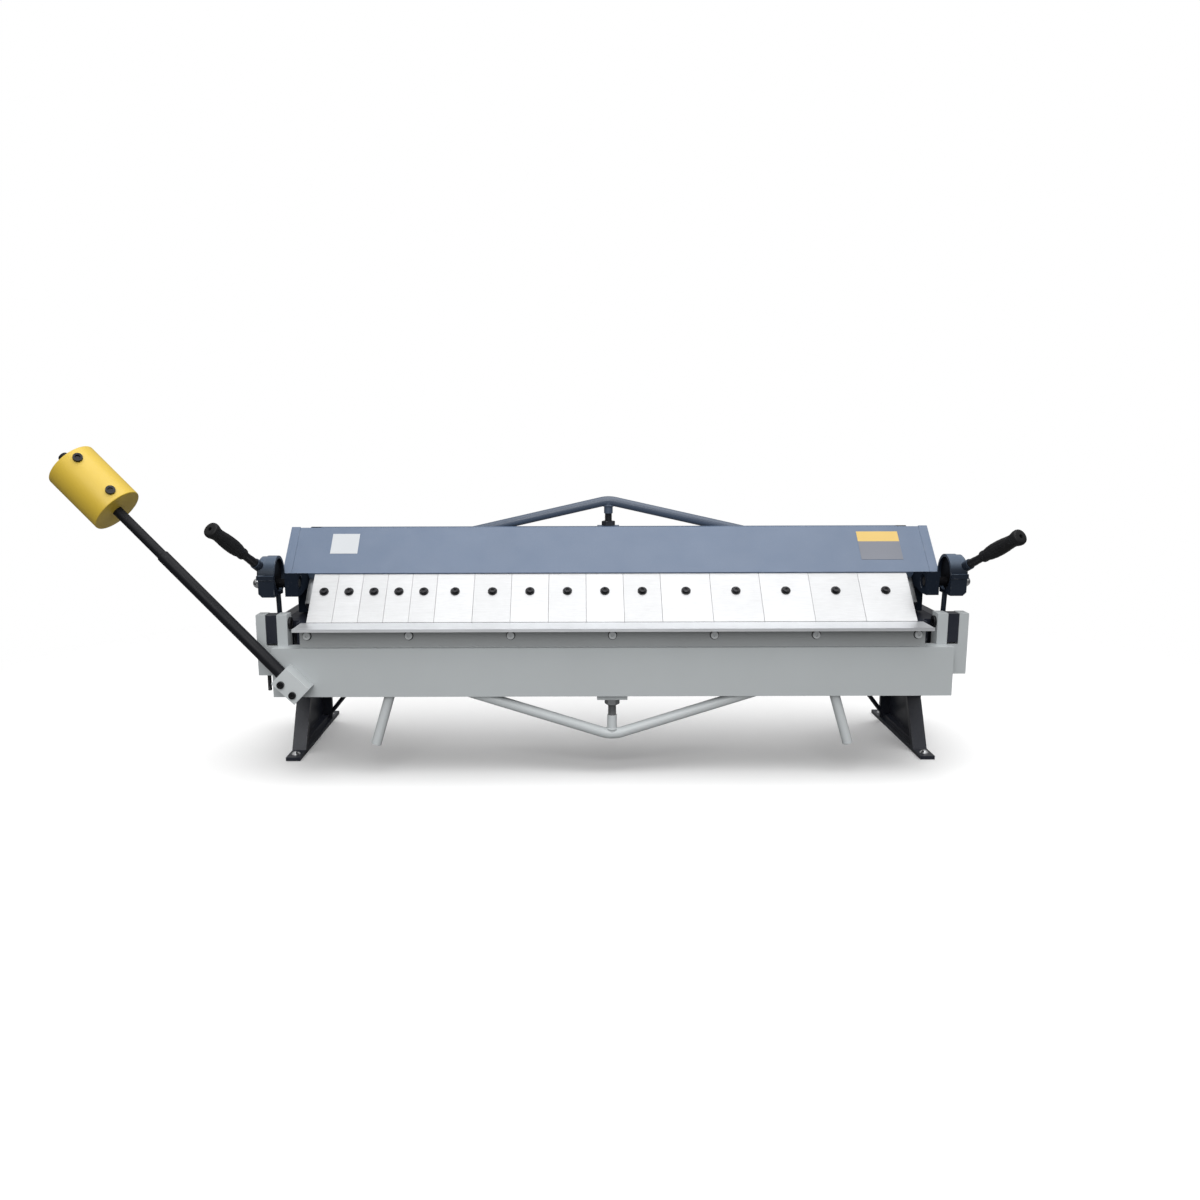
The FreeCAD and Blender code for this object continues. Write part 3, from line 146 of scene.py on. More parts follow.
def edge_wear_group():
    """A mask that is bright on outer edges, broken up so that the wear comes and goes."""
    tree, given, result = new_group(
        "edge wear", "ShaderNodeTree", {"Radius": 0.002, "Amount": 1.0}, {"Mask": "Float"})
    rounded = put(tree, "ShaderNodeBevel", {"Radius": given.outputs["Radius"]}, samples=4)
    flat = put(tree, "ShaderNodeNewGeometry")
    agree = put(tree, "ShaderNodeVectorMath", {0: rounded.outputs[0], 1: flat.outputs["True Normal"]},
                operation="DOT_PRODUCT")
    turn = ranged(tree, agree.outputs["Value"], 0.995, 0.80)
    broken = ranged(tree, noise(tree, own_place(tree), 45.0, 5.0, 0.7), 0.52, 0.66)
    both = maths(tree, "MULTIPLY", turn, broken)
    fill(result, {"Mask": maths(tree, "MULTIPLY", both, given.outputs["Amount"], use_clamp=True)})
    return tree


def enamel_group(wear):
    """Sprayed enamel: a faint orange peel, cloudy colour, settled dust and edges worn back."""
    tree, given, result = new_group(
        "sprayed enamel", "ShaderNodeTree",
        {"Colour": (0.5, 0.5, 0.5, 1), "Worn Colour": (0.5, 0.5, 0.5, 1), "Wear": 0.6, "Gloss": 0.4,
         "Peel": 0.12, "Cloud": 0.08},
        {"Colour": "Color", "Roughness": "Float", "Normal": "Vector"})
    place = own_place(tree)
    swing = maths(tree, "SUBTRACT", noise(tree, place, 5.0, 4.0, 0.6), 0.5)
    level = maths(tree, "ADD", maths(tree, "MULTIPLY", swing, given.outputs["Cloud"]), 1.0)
    specks = ranged(tree, noise(tree, place, 260.0, 3.0, 0.8), 0.62, 0.78, 0.0, 0.10)
    dusty = blend(tree, specks, scaled(tree, given.outputs["Colour"], level), DUST_TONE)
    worn = put(tree, "ShaderNodeGroup", {"Radius": WEAR_REACH, "Amount": given.outputs["Wear"]},
               node_tree=wear).outputs["Mask"]
    uneven = ranged(tree, noise(tree, place, 18.0, 6.0, 0.65), 0.3, 0.7, -0.07, 0.09)
    peel = noise(tree, place, 420.0, 2.0, 0.4)
    fill(result, {"Colour": blend(tree, worn, dusty, given.outputs["Worn Colour"]),
                  "Roughness": maths(tree, "ADD", given.outputs["Gloss"], uneven),
                  "Normal": bumped(tree, given.outputs["Peel"], PEEL_DEPTH, peel)})
    return tree


edge_wear = edge_wear_group()
sprayed_enamel = enamel_group(edge_wear)


def shader_of(name):
    """A new material, its tree and its Principled shader."""
    material = bpy.data.materials.new(name)
    material.use_nodes = True
    return material, material.node_tree, material.node_tree.nodes["Principled BSDF"]


def dressed(tree, shader, group, values):
    """Puts a group's colour, roughness and normal on the shader, with the given values."""
    skin = put(tree, "ShaderNodeGroup", values, node_tree=group)
    fill(shader, {"Base Color": skin.outputs["Colour"], "Roughness": skin.outputs["Roughness"],
                  "Normal": skin.outputs["Normal"]})


def enamel(name, colour, worn=(0.42, 0.44, 0.47), wear=0.5, gloss=0.38, peel=0.12, cloud=0.10,
           metal=0.0, gleam=0.5):
    """Enamel in one colour, with the given strength of gleam."""
    material, tree, shader = shader_of(name)
    dressed(tree, shader, sprayed_enamel,
            {"Colour": (*colour, 1), "Worn Colour": (*worn, 1), "Wear": wear, "Gloss": gloss,
             "Peel": peel, "Cloud": cloud})
    fill(shader, {"Metallic": metal, "Specular IOR Level": gleam})
    return material


def plain_mesh(thing, name):
    """The thing with its modifiers carried out, as a new object at the origin."""
    bpy.context.view_layer.update()
    graph = bpy.context.evaluated_depsgraph_get()
    mesh = bpy.data.meshes.new_from_object(thing.evaluated_get(graph), preserve_all_data_layers=True,
                                           depsgraph=graph)
    mesh.name = name
    bpy.data.objects.remove(thing)
    return object_of(name, mesh)


def broken_edges(thing, name, width, segments=2):
    """Bevels a thing's hard edges and smooths it, its flats kept flat."""
    thing.data.shade_smooth()
    bevel = thing.modifiers.new("broken edges", "BEVEL")
    bevel.width = width
    bevel.segments = segments
    bevel.limit_method = "ANGLE"
    bevel.angle_limit = HARD_CORNER
    bevel.miter_outer = "MITER_ARC"
    flats = thing.modifiers.new("flats", "WEIGHTED_NORMAL")
    flats.keep_sharp = False
    return plain_mesh(thing, name)


def merged_copy(node, name):
    """A copy of a CAD node, its triangles joined and its flats made whole."""
    work = bmesh.new()
    work.from_mesh(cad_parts[node].data)
    bmesh.ops.remove_doubles(work, verts=work.verts, dist=3e-6)
    bmesh.ops.dissolve_limit(work, angle_limit=math.radians(0.5), verts=work.verts, edges=work.edges)
    return worked(name, work)


def fitted(piece, material, body, slot, *nodes):
    """Gives a finished piece its material and its body, and hides the nodes that it stands for. The slot is
    not used.
    """
    piece.data.materials.clear()
    piece.data.materials.append(material)
    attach(piece, body)
    if nodes:
        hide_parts(*nodes)
    return piece


def finished(node, width, material, body, slot, segments=2):
    """The CAD node with its edges broken, standing for the node."""
    piece = broken_edges(merged_copy(node, f"{node}_shape"), f"{node}_finished", width, segments)
    return fitted(piece, material, body, slot, node)


frame_enamel = enamel("frame enamel", FRAME_COLOUR, gloss=0.34, wear=0.45, cloud=0.18)
for name, side in SIDES:
    finished(f"{name}_frame", FRAME_EDGE, frame_enamel, "base", "frame_paint")


# Bed: a planed steel plate on a deep front web, welded up and sprayed, its top rubbed by sheets.
# It is bolted to both frames through its end plates.
bed_enamel = enamel("bed enamel", FRAME_COLOUR, gloss=0.46, wear=0.6, cloud=0.14, gleam=0.12)
finished("bed", 0.8 * MM, bed_enamel, "base", "frame_paint")


# Bed braces: round rods from the frames' rear legs up to the bed's rear web, welded at both ends.
finished("bed_braces", 0.5 * MM, frame_enamel, "base", "frame_paint")


# Bed bolts: socket screws from outside each frame, blacked with oxide.
# Screws are turned heads with a hex socket, each turned to where it came tight.
BLACK_OXIDE_COLOUR = (0.010, 0.010, 0.012)
BED_BOLT = (9 * MM, 12 * MM, 9.18 * MM, 0.8 * MM, 5.4 * MM)
BED_BOLT_AT = (-165 * MM, -120 * MM, -75 * MM)
BED_BOLT_UP = 265 * MM
FRAME_FACE = 684.5 * MM


def screw_tree():
    """Heads with washers and hex sockets on the points of a mesh, along their own axis."""
    tree, given, result = new_group(
        "screw heads", "GeometryNodeTree",
        {"Places": "Geometry", "Head Radius": 0.008, "Head Height": 0.008, "Washer Radius": 0.009,
         "Washer Height": 0.001, "Socket Radius": 0.004, "Socket Depth": 0.005, "Seed": 3,
         "Material": "Material"},
        {"Screws": "Geometry"})
    sizes = given.outputs

    def middle_of(low, high):
        up = maths(tree, "ADD", low, maths(tree, "MULTIPLY", high, 0.5))
        return put(tree, "ShaderNodeCombineXYZ", {"Z": up}).outputs[0]

    def bar(sides, radius, depth, middle):
        made = put(tree, "GeometryNodeMeshCylinder", {"Radius": radius, "Depth": depth, "Vertices": sides})
        return put(tree, "GeometryNodeTransform",
                   {"Geometry": made.outputs["Mesh"], "Translation": middle}).outputs[0]

    head = bar(36, sizes["Head Radius"], sizes["Head Height"],
               middle_of(sizes["Washer Height"], sizes["Head Height"]))
    washer = bar(36, sizes["Washer Radius"], sizes["Washer Height"], middle_of(0.0, sizes["Washer Height"]))
    top = maths(tree, "ADD", sizes["Washer Height"], sizes["Head Height"])
    socket = bar(6, sizes["Socket Radius"], maths(tree, "MULTIPLY", sizes["Socket Depth"], 2.0),
                 put(tree, "ShaderNodeCombineXYZ", {"Z": top}).outputs[0])
    hollow = put(tree, "GeometryNodeMeshBoolean", {"Mesh 1": head, "Mesh 2": socket}, operation="DIFFERENCE")
    screw = put(tree, "GeometryNodeJoinGeometry", {0: hollow.outputs["Mesh"]})
    fill(screw, {0: washer})
    axis = put(tree, "GeometryNodeInputNamedAttribute", {"Name": "axis"}, data_type="FLOAT_VECTOR")
    stand = put(tree, "FunctionNodeAlignRotationToVector", {"Vector": axis.outputs[0]}, axis="Z")
    spin = put(tree, "FunctionNodeRandomValue", {2: 0.0, 3: math.pi / 3, 8: sizes["Seed"]}, data_type="FLOAT")
    roll = put(tree, "ShaderNodeCombineXYZ", {"Z": spin.outputs[1]})
    facing = put(tree, "FunctionNodeRotateRotation",
                 {"Rotation": stand.outputs[0], "Rotate By": roll.outputs[0]}, rotation_space="LOCAL")
    placed = put(tree, "GeometryNodeInstanceOnPoints",
                 {"Points": sizes["Places"], "Instance": screw.outputs[0], "Rotation": facing.outputs[0]})
    real = put(tree, "GeometryNodeRealizeInstances", {0: placed.outputs[0]})
    coated = put(tree, "GeometryNodeSetMaterial",
                 {"Geometry": real.outputs[0], "Material": sizes["Material"]})
    fill(result, {"Screws": coated.outputs[0]})
    return tree


def run_tree(tree, name, points, edges, axes, values):
    """A geometry tree on a mesh of points, not yet carried out."""
    thing = drawn(name, points, edges, [])
    if axes:
        stored = thing.data.attributes.new("axis", "FLOAT_VECTOR", "POINT")
        for slot, axis in zip(stored.data, axes):
            slot.vector = axis
    modifier = thing.modifiers.new(tree.name, "NODES")
    modifier.node_group = tree
    names = {item.name: item.identifier for item in tree.interface.items_tree
             if item.item_type == "SOCKET" and item.in_out == "INPUT"}
    for label, value in values.items():
        modifier[names[label]] = value
    return thing


screw_heads = screw_tree()


def screws(name, points, axes, sizes, material, body, slot, node, soften=0.35 * MM):
    """One piece of like screws at the given points, standing for a node. The sizes are the head's radius
    and height, the washer's radius and height, and the socket's radius."""
    head, high, washer, washer_high, socket = sizes
    thing = run_tree(screw_heads, name, points, [], axes,
                     {"Head Radius": head, "Head Height": high, "Washer Radius": washer,
                      "Washer Height": washer_high, "Socket Radius": socket, "Socket Depth": high * 0.6,
                      "Seed": len(points), "Material": material})
    piece = broken_edges(plain_mesh(thing, f"{name}_heads"), name, soften)
    fitted(piece, material, body, slot, node)


black_oxide = enamel("black oxide", BLACK_OXIDE_COLOUR, worn=(0.16, 0.16, 0.17), wear=0.7, gloss=0.36,
                     peel=0.05, metal=0.6)
places = [(side * FRAME_FACE, at, BED_BOLT_UP) for _, side in SIDES for at in BED_BOLT_AT]
axes = [(side, 0, 0) for _, side in SIDES for _ in BED_BOLT_AT]
screws("bed_bolt_heads", places, axes, BED_BOLT, black_oxide, "base", "black_oxide", "bed_bolts")


# Levelling screws: dome-headed screws of zinc-plated steel, at the front and rear of each foot.
ZINC_COLOUR = (0.55, 0.56, 0.57)
GRAIN_DEPTH = 0.3 * MM


def bare_metal(name, colour, gloss=0.3, streak=(1.0, 1.0, 1.0), depth=0.10, metal=1.0):
    """Bare or plated metal with a fine grain that is drawn out along one way."""
    material, tree, shader = shader_of(name)
    dressed(tree, shader, drawn_grain,
            {"Colour": (*colour, 1), "Gloss": gloss, "Stretch": streak, "Depth": depth})
    fill(shader, {"Metallic": metal})
    return material


def grain_group():
    """Ground or plated metal: drawn-out scratches, faint stains and a soft cloud."""
    tree, given, result = new_group(
        "drawn grain", "ShaderNodeTree",
        {"Colour": (0.6, 0.6, 0.6, 1), "Gloss": 0.3, "Stretch": (1.0, 1.0, 1.0), "Depth": 0.1},
        {"Colour": "Color", "Roughness": "Float", "Normal": "Vector"})
    place = own_place(tree)
    along = put(tree, "ShaderNodeVectorMath", {0: place, 1: given.outputs["Stretch"]},
                operation="MULTIPLY").outputs[0]
    grain = noise(tree, along, 900.0, 3.0, 0.6)
    broad = noise(tree, along, 60.0, 5.0, 0.6)
    patch = ranged(tree, noise(tree, place, 14.0, 6.0, 0.7), 0.25, 0.6, 0.94, 1.0)
    fine = maths(tree, "MULTIPLY", ranged(tree, grain, 0.3, 0.7, 0.93, 1.05),
                 ranged(tree, broad, 0.3, 0.7, 0.95, 1.04))
    uneven = ranged(tree, broad, 0.3, 0.7, -0.05, 0.08)
    fill(result, {"Colour": scaled(tree, given.outputs["Colour"], maths(tree, "MULTIPLY", fine, patch)),
                  "Roughness": maths(tree, "ADD", given.outputs["Gloss"], uneven),
                  "Normal": bumped(tree, given.outputs["Depth"], GRAIN_DEPTH, grain)})
    return tree


drawn_grain = grain_group()
zinc_plate = bare_metal("zinc plate", ZINC_COLOUR, gloss=0.26, depth=0.06)
finished("levelling_screws", 0.3 * MM, zinc_plate, "base", "zinc_plate")


# Hinge bushes: plain bronze rings pressed into the frames, with the apron's pins turning in them.
bush_bronze = bare_metal("bush bronze", (0.48, 0.31, 0.14), gloss=0.34, streak=(0.05, 1.0, 1.0))
finished("hinge_bushes", 0.4 * MM, bush_bronze, "base", "bush_bronze")


# Link pins: headed steel pins that the clamp links swing on, oiled and dark.
dark_steel = enamel("dark oiled steel", (0.030, 0.032, 0.038), worn=(0.22, 0.22, 0.23), wear=0.6,
                    gloss=0.33, peel=0.06, metal=0.35)
finished("link_pins", 0.5 * MM, dark_steel, "base", "dark_steel")


# Clamp beam: a folded plate box with a sloping face, welded to its ends and sprayed slate blue-grey.
# The face is the first thing that is seen, so its enamel is even and a little glossy.
BEAM_COLOUR = (0.096, 0.1365, 0.211)
beam_enamel = enamel("beam enamel", BEAM_COLOUR, gloss=0.36, wear=0.35, cloud=0.16, peel=0.14)
# Painted shade: the beam ends' cheeks sit under the beam's overhang, so they are coloured near black and
# given no gleam.
CHEEK_BEYOND = 0.653
CHEEK_SHADE_COLOUR = (0.010, 0.014, 0.022)
SHADED_GLEAM = 0.0
OUTER_GLEAM = 0.5


def skin_in(tree):
    """The group that colours a finished material."""
    return next(node for node in tree.nodes if node.type == "GROUP")


def shade_painted_inside(name, outer, inner, turn):
    """Enamel in one colour beyond a distance from the machine's middle, with painted shade inside it: a
    darker colour and no gleam.
    """
    material = enamel(name, outer, gloss=0.36, wear=0.35, cloud=0.16)
    tree = material.node_tree
    beyond = maths(tree, "GREATER_THAN", maths(tree, "ABSOLUTE", own_place(tree, "X")), turn)
    fill(skin_in(tree), {"Colour": blend(tree, beyond, (*inner, 1), (*outer, 1))})
    fill(tree.nodes["Principled BSDF"],
         {"Specular IOR Level": ranged(tree, beyond, 0.0, 1.0, SHADED_GLEAM, OUTER_GLEAM)})
    return material


finished("clamp_beam", 0.4 * MM, beam_enamel, "beam", "beam_paint")
end_enamel = shade_painted_inside("beam end with painted shade", BEAM_COLOUR, CHEEK_SHADE_COLOUR, CHEEK_BEYOND)
for name, side in SIDES:
    finished(f"{name}_beam_end", 0.4 * MM, end_enamel, "beam", "beam_paint")
finished("beam_pivot_pins", 0.6 * MM, dark_steel, "beam", "dark_steel")


# Blank plates: two thin printed films stuck to the beam's face, pale at the left and two-toned at
# the right. They carry no words.
FACE_FOOT = Vector((0, -247 * MM, 310 * MM))
FACE_UP = Vector((0, 1, 1)).normalized()
FACE_OUT = Vector((0, -1, 1)).normalized()
FACE_PROUD = 3 * MM
PLATE_THICK = 0.5 * MM
PALE_FILM = (0.50, 0.52, 0.54)
PLATES = (
    ("left_blank_plate", -585 * MM, -528 * MM, 172 * MM, 225 * MM, PALE_FILM, PALE_FILM),
    ("right_blank_plate", 522 * MM, 609 * MM, 153 * MM, 228 * MM, (0.145, 0.155, 0.185), (0.60, 0.41, 0.11)),
)
BAND_SHARE = 0.35


def on_face(across, up, out):
    """A point of the beam's face: across it, up the slope from the fingers' noses and out from it."""
    return FACE_FOOT + Vector((across, 0, 0)) + FACE_UP * up + FACE_OUT * (FACE_PROUD + out)


def plate_mesh(name, low, high, foot, top):
    """A thin plate that lies on the beam's face."""
    corners = [on_face(x, up, out) for out in (0.0, PLATE_THICK)
               for x, up in ((low, foot), (high, foot), (high, top), (low, top))]
    faces = [(3, 2, 1, 0), (4, 5, 6, 7), (0, 1, 5, 4), (1, 2, 6, 5), (2, 3, 7, 6), (3, 0, 4, 7)]
    return drawn(name, corners, [], faces)


def plate_material(name, field, band, turn):
    """Printed film in a flat field with a band of colour along its top edge."""
    material, tree, shader = shader_of(name)
    above = maths(tree, "GREATER_THAN", own_place(tree, "Z"), turn)
    dressed(tree, shader, sprayed_enamel, {"Colour": blend(tree, above, (*field, 1), (*band, 1)),
                                           "Wear": 0.0, "Gloss": 0.42, "Peel": 0.03, "Cloud": 0.05})
    return material


for name, low, high, foot, top, field, band in PLATES:
    turn = on_face(0, top - (top - foot) * BAND_SHARE, 0).z
    film = plate_material(f"{name} film", field, band, turn)
    piece = broken_edges(plate_mesh(name, low, high, foot, top), f"{name}_film", 0.15 * MM)
    fitted(piece, film, "beam", "beam_paint")


# Finger bar: a planed steel bar across the beam's underside, tapped for the fingers' screws.
machined_steel = bare_metal("machined steel", (0.30, 0.31, 0.32), gloss=0.36, streak=(0.04, 1.0, 1.0))
finished("finger_bar", 0.8 * MM, machined_steel, "beam", "machined_steel")


# Fingers: sixteen hardened steel fingers, ground bright on their faces, each held by one screw.
# The grinding runs across them, and neighbours differ a little in tone.
FINGER_TONES = (0.51, 0.53, 0.50, 0.52)
FINGER_COUNT = 16
grounds = [bare_metal(f"ground finger {number}", (tone, tone * 1.01, tone * 1.025), gloss=0.42,
                      streak=(0.05, 1.0, 1.0), depth=0.05, metal=0.40)
           for number, tone in enumerate(FINGER_TONES, 1)]
for index in range(FINGER_COUNT):
    finished(f"finger_{index + 1:02d}", 0.45 * MM, grounds[index % len(grounds)], "beam", "ground_steel")


# Finger screws: one blacked socket screw with a washer through each finger.
FINGER_EDGE = 609.6 * MM
FINGER_WIDTHS = [50.8 * MM] * 5 + [76.2 * MM] * 6 + [101.6 * MM] * 5
SCREW_UP = 76 * MM
FINGER_SCREW = (6.5 * MM, 4 * MM, 9.5 * MM, 2 * MM, 3.5 * MM)
middles = [sum(FINGER_WIDTHS[:index]) + wide / 2 - FINGER_EDGE for index, wide in enumerate(FINGER_WIDTHS)]
places = [FACE_FOOT + Vector((middle, 0, 0)) + FACE_UP * SCREW_UP for middle in middles]
screws("finger_screw_heads", places, [FACE_OUT] * FINGER_COUNT, FINGER_SCREW, black_oxide, "beam",
       "black_oxide", "finger_screws")


# Upper truss: a bent steel tube over the beam that keeps it straight, welded to the beam's ends,
# with a post at its bend. A jack screw between the post and the beam sets the crown.
UPPER_BACK = -9.5 * MM
UPPER_POST_FOOT = 507.5 * MM
UPPER_TUBE_UNDER = 523.5 * MM
POST_RADIUS = 9.5 * MM
NO_RADIUS = 1e-6
SHARP_CORNER = 38
NUT_RADIUS = 15 * MM
NUT_HIGH = 10 * MM
STUD_RADIUS = 8 * MM
STUD_PITCH = 1.5 * MM
BEAM_TOP = 480.4 * MM
WELD_DROP = 2.0 * MM
WELD_STEPS = 40
WELD_RADIUS = POST_RADIUS * 1.04
THREAD_ROOT = 0.88
NUT_WASHER_FACE = 0.93


def bead_tree():
    """A weld bead: drops laid one over the other along a line."""
    tree, given, result = new_group(
        "weld bead", "GeometryNodeTree",
        {"Line": "Geometry", "Drop Radius": 0.002, "Spacing": 0.002, "Seed": 5, "Material": "Material"},
        {"Bead": "Geometry"})
    curve = put(tree, "GeometryNodeMeshToCurve", {0: given.outputs["Line"]})
    even = put(tree, "GeometryNodeResampleCurve",
               {"Curve": curve.outputs[0], "Length": given.outputs["Spacing"]}, mode="LENGTH")
    drop = put(tree, "GeometryNodeMeshUVSphere",
               {"Radius": given.outputs["Drop Radius"], "Segments": 8, "Rings": 6})
    grow = put(tree, "FunctionNodeRandomValue", {2: 0.86, 3: 1.12, 8: given.outputs["Seed"]},
               data_type="FLOAT")
    laid = put(tree, "GeometryNodeInstanceOnPoints",
               {"Points": even.outputs[0], "Instance": drop.outputs["Mesh"], "Scale": grow.outputs[1]})
    real = put(tree, "GeometryNodeRealizeInstances", {0: laid.outputs[0]})
    coated = put(tree, "GeometryNodeSetMaterial",
                 {"Geometry": real.outputs[0], "Material": given.outputs["Material"]})
    fill(result, {"Bead": coated.outputs[0]})
    return tree


weld_bead = bead_tree()


def standing(base, axis):
    """The turn and place that stand a shape on a base along an axis."""
    return Matrix.Translation(base) @ Vector(axis).to_track_quat("Z", "Y").to_matrix().to_4x4()


def ring_of(work, place, radius, height, sides):
    """New corners round a ring at a height above a place; its radius may change with the turn."""
    ring = []
    for index in range(sides):
        turn = 2 * math.pi * index / sides
        out = radius(turn) if callable(radius) else radius
        ring.append(work.verts.new(place @ Vector((out * math.cos(turn), out * math.sin(turn), height))))
    return ring


def lathe(name, profile, base, axis, sides=56):
    """A turned piece: radius and height of each step of its outline, about an axis from its base."""
    place = standing(base, axis)
    work = bmesh.new()
    rings = [ring_of(work, place, radius, height, sides if radius > NO_RADIUS else 1)
             for radius, height in profile]
    for low, high in zip(rings, rings[1:]):
        for index in range(sides):
            after = (index + 1) % sides
            corners = [low[index % len(low)], low[after % len(low)], high[after % len(high)],
                       high[index % len(high)]]
            kept = [v for k, v in enumerate(corners) if v not in corners[:k]]
            if len(kept) > 2:
                work.faces.new(kept)
    for ring in (rings[0], rings[-1]):
        if len(ring) > 1 and rings[0] is not rings[-1] and profile[0] != profile[-1]:
            work.faces.new(ring)
    bmesh.ops.remove_doubles(work, verts=work.verts, dist=1e-7)
    bmesh.ops.recalc_face_normals(work, faces=work.faces)
    return worked(name, work)


def eased(thing, angle):
    """Smooths a thing along its curves and leaves corners beyond an angle sharp."""
    thing.data.shade_smooth()
    thing.data.set_sharp_from_angle(angle=math.radians(angle))


def turned(name, profile, base, axis, angle=SHARP_CORNER, sides=56):
    """A finished turned piece, smoothed along its curves."""
    shape = lathe(f"{name}_shape", profile, base, axis, sides)
    eased(shape, angle)
    return plain_mesh(shape, name)


def joined(name, things):
    """Several finished meshes as one piece."""
    work = bmesh.new()
    for thing in things:
        work.from_mesh(thing.data)
        bpy.data.objects.remove(thing)
    piece = worked(name, work)
    eased(piece, SHARP_CORNER)
    return piece


def hex_nut(name, base, axis, radius, high, bore, roll=0.0):
    """A hexagon nut whose corners are turned off at both ends."""
    end = radius * NUT_WASHER_FACE
    nut = lathe(name, [(bore, 0), (end, 0), (radius * 1.002, high * 0.14), (radius * 1.002, high * 0.86),
                       (end, high), (bore, high), (bore, 0)], base, axis)
    prism = lathe(f"{name}_flats", [(radius, -high), (radius, high * 2)], base, axis, sides=6)
    there = Matrix.Translation(base)
    prism.data.transform(there @ Matrix.Rotation(roll, 4, Vector(axis)) @ there.inverted())
    keep = nut.modifiers.new("flats", "BOOLEAN")
    keep.operation = "INTERSECT"
    keep.solver = "EXACT"
    keep.object = prism
    piece = plain_mesh(nut, f"{name}_hexagon")
    bpy.data.objects.remove(prism)
    return piece


def threaded(name, base, axis, radius, long, pitch):
    """A threaded stud, its thread turned as fine grooves."""
    root = radius * THREAD_ROOT
    profile = [(0, 0), (root, 0)]
    for index in range(int(long / pitch)):
        start = index * pitch + pitch * 0.25
        profile += [(root, start), (radius, start + pitch * 0.3), (radius, start + pitch * 0.45)]
    profile += [(root, long), (0, long)]
    return lathe(name, profile, base, axis, sides=40)


def jack_screw(end, foot, way, gap, roll):
    """The stud and nut that push a truss's post away from its seat."""
    nut = hex_nut(f"{end}_jack_nut", foot, way, NUT_RADIUS, NUT_HIGH, STUD_RADIUS * 0.95, roll)
    stud = threaded(f"{end}_jack_stud", foot, way, STUD_RADIUS, gap + NUT_HIGH * 0.6, STUD_PITCH)
    return joined(f"{end}_jack_screw", [nut, stud])


def post_weld(name, back, up, way, material, body, slot):
    """The weld round the end of a truss's post: a closed ring of beads."""
    turn = Vector(way).to_track_quat("Z", "Y")
    steps = [2 * math.pi * index / WELD_STEPS for index in range(WELD_STEPS)]
    ring = [Vector((WELD_RADIUS * math.cos(step), WELD_RADIUS * math.sin(step), 0)) for step in steps]
    points = [Vector((0, back, up)) + turn @ point for point in ring]
    edges = [(index, (index + 1) % WELD_STEPS) for index in range(WELD_STEPS)]
    thing = run_tree(weld_bead, name, points, edges, None,
                     {"Drop Radius": WELD_DROP, "Spacing": WELD_DROP * 0.9, "Seed": WELD_STEPS,
                      "Material": material})
    piece = plain_mesh(thing, name)
    piece.data.shade_smooth()
    fitted(piece, material, body, slot)


# Painted shade: the truss and its welds take the beam's slate darkened, for the shade behind the beam.
SHADED_TRUSS_COLOUR = (0.065, 0.087, 0.127)
shaded_truss_enamel = enamel("truss slate in painted shade", SHADED_TRUSS_COLOUR, gloss=0.34, wear=0.35, cloud=0.16)
finished("upper_truss", 0.8 * MM, shaded_truss_enamel, "beam", "beam_paint")
post_weld("upper_truss_welds", UPPER_BACK, UPPER_TUBE_UNDER, (0, 0, 1), shaded_truss_enamel, "beam", "beam_paint")
upper_jack = jack_screw("upper", Vector((0, UPPER_BACK, BEAM_TOP)), (0, 0, 1),
                        UPPER_POST_FOOT - BEAM_TOP, 0.2)
fitted(upper_jack, dark_steel, "beam", "dark_steel", "upper_truss_jack_bolt")


# Clamp links: cast rings on round stems, one at each end, which hang on pins behind the apron's hinge.
# Each has a square block at the ring's foot, and is sprayed in dark slate enamel, with painted light on top:
# faces turned upwards are coloured lighter, as if lit from above.
HUB_COLOUR = (0.010, 0.014, 0.023)
LINK_BEVEL = 0.9 * MM
HUB_SHEEN = (0.78, 0.89, 1.0, 1)
TOP_LIGHT_COLOUR = (0.075, 0.103, 0.150)
hub_enamel = enamel("hub slate with painted top light", HUB_COLOUR, gloss=0.34, wear=0.5, cloud=0.20, gleam=0.35)
hub_tree = hub_enamel.node_tree
fill(hub_tree.nodes["Principled BSDF"], {"Specular Tint": HUB_SHEEN})
# Painted top light: the colour goes from the dark hub colour to a lighter slate as a face turns upwards.
facing = put(hub_tree, "ShaderNodeTexCoord").outputs["Normal"]
upward = put(hub_tree, "ShaderNodeSeparateXYZ", {0: facing}).outputs["Z"]
paler_share = ranged(hub_tree, upward, 0.30, 0.95)
fill(skin_in(hub_tree), {"Colour": blend(hub_tree, paler_share, (*HUB_COLOUR, 1), (*TOP_LIGHT_COLOUR, 1))})
for name, side in SIDES:
    finished(f"{name}_clamp_link", LINK_BEVEL, hub_enamel, f"{name}_link", "hub_paint", segments=3)


# Eccentrics: a turned disc inside each ring, with a rounded hub outside it that is cut back below,
# a ledge across its front and a short socket for the handle.
# A thin black film on the disc's face inside the ring is painted shade, standing for the shade in the ring's
# hollow.
RING_BACK = -220 * MM
RING_HIGH = 403 * MM
DISC_FACE = 671.5 * MM
SHADE_FILM_RADIUS = 32.7 * MM
SHADE_FILM_THICK = 0.3 * MM
SHADE_FILM_OUTLINE = ((0, 0), (SHADE_FILM_RADIUS, 0), (SHADE_FILM_RADIUS - SHADE_FILM_THICK, SHADE_FILM_THICK),
                  (0, SHADE_FILM_THICK))
SHADE_BLACK_COLOUR = (0.004, 0.004, 0.005)
# Near-black enamel with almost no gleam, used as painted shade.
painted_shade_black = enamel("painted shade black", SHADE_BLACK_COLOUR, worn=(0.010, 0.009, 0.008), gloss=0.5, gleam=0.05)
for name, side in SIDES:
    finished(f"{name}_eccentric", 1.2 * MM, hub_enamel, f"{name}_clamp", "hub_paint", segments=3)
    middle = Vector((side * DISC_FACE, RING_BACK, RING_HIGH))
    film = turned(f"{name}_disc_shade_film", SHADE_FILM_OUTLINE, middle, Vector((-side, 0, 0)))
    fitted(film, painted_shade_black, f"{name}_clamp", "hub_paint")
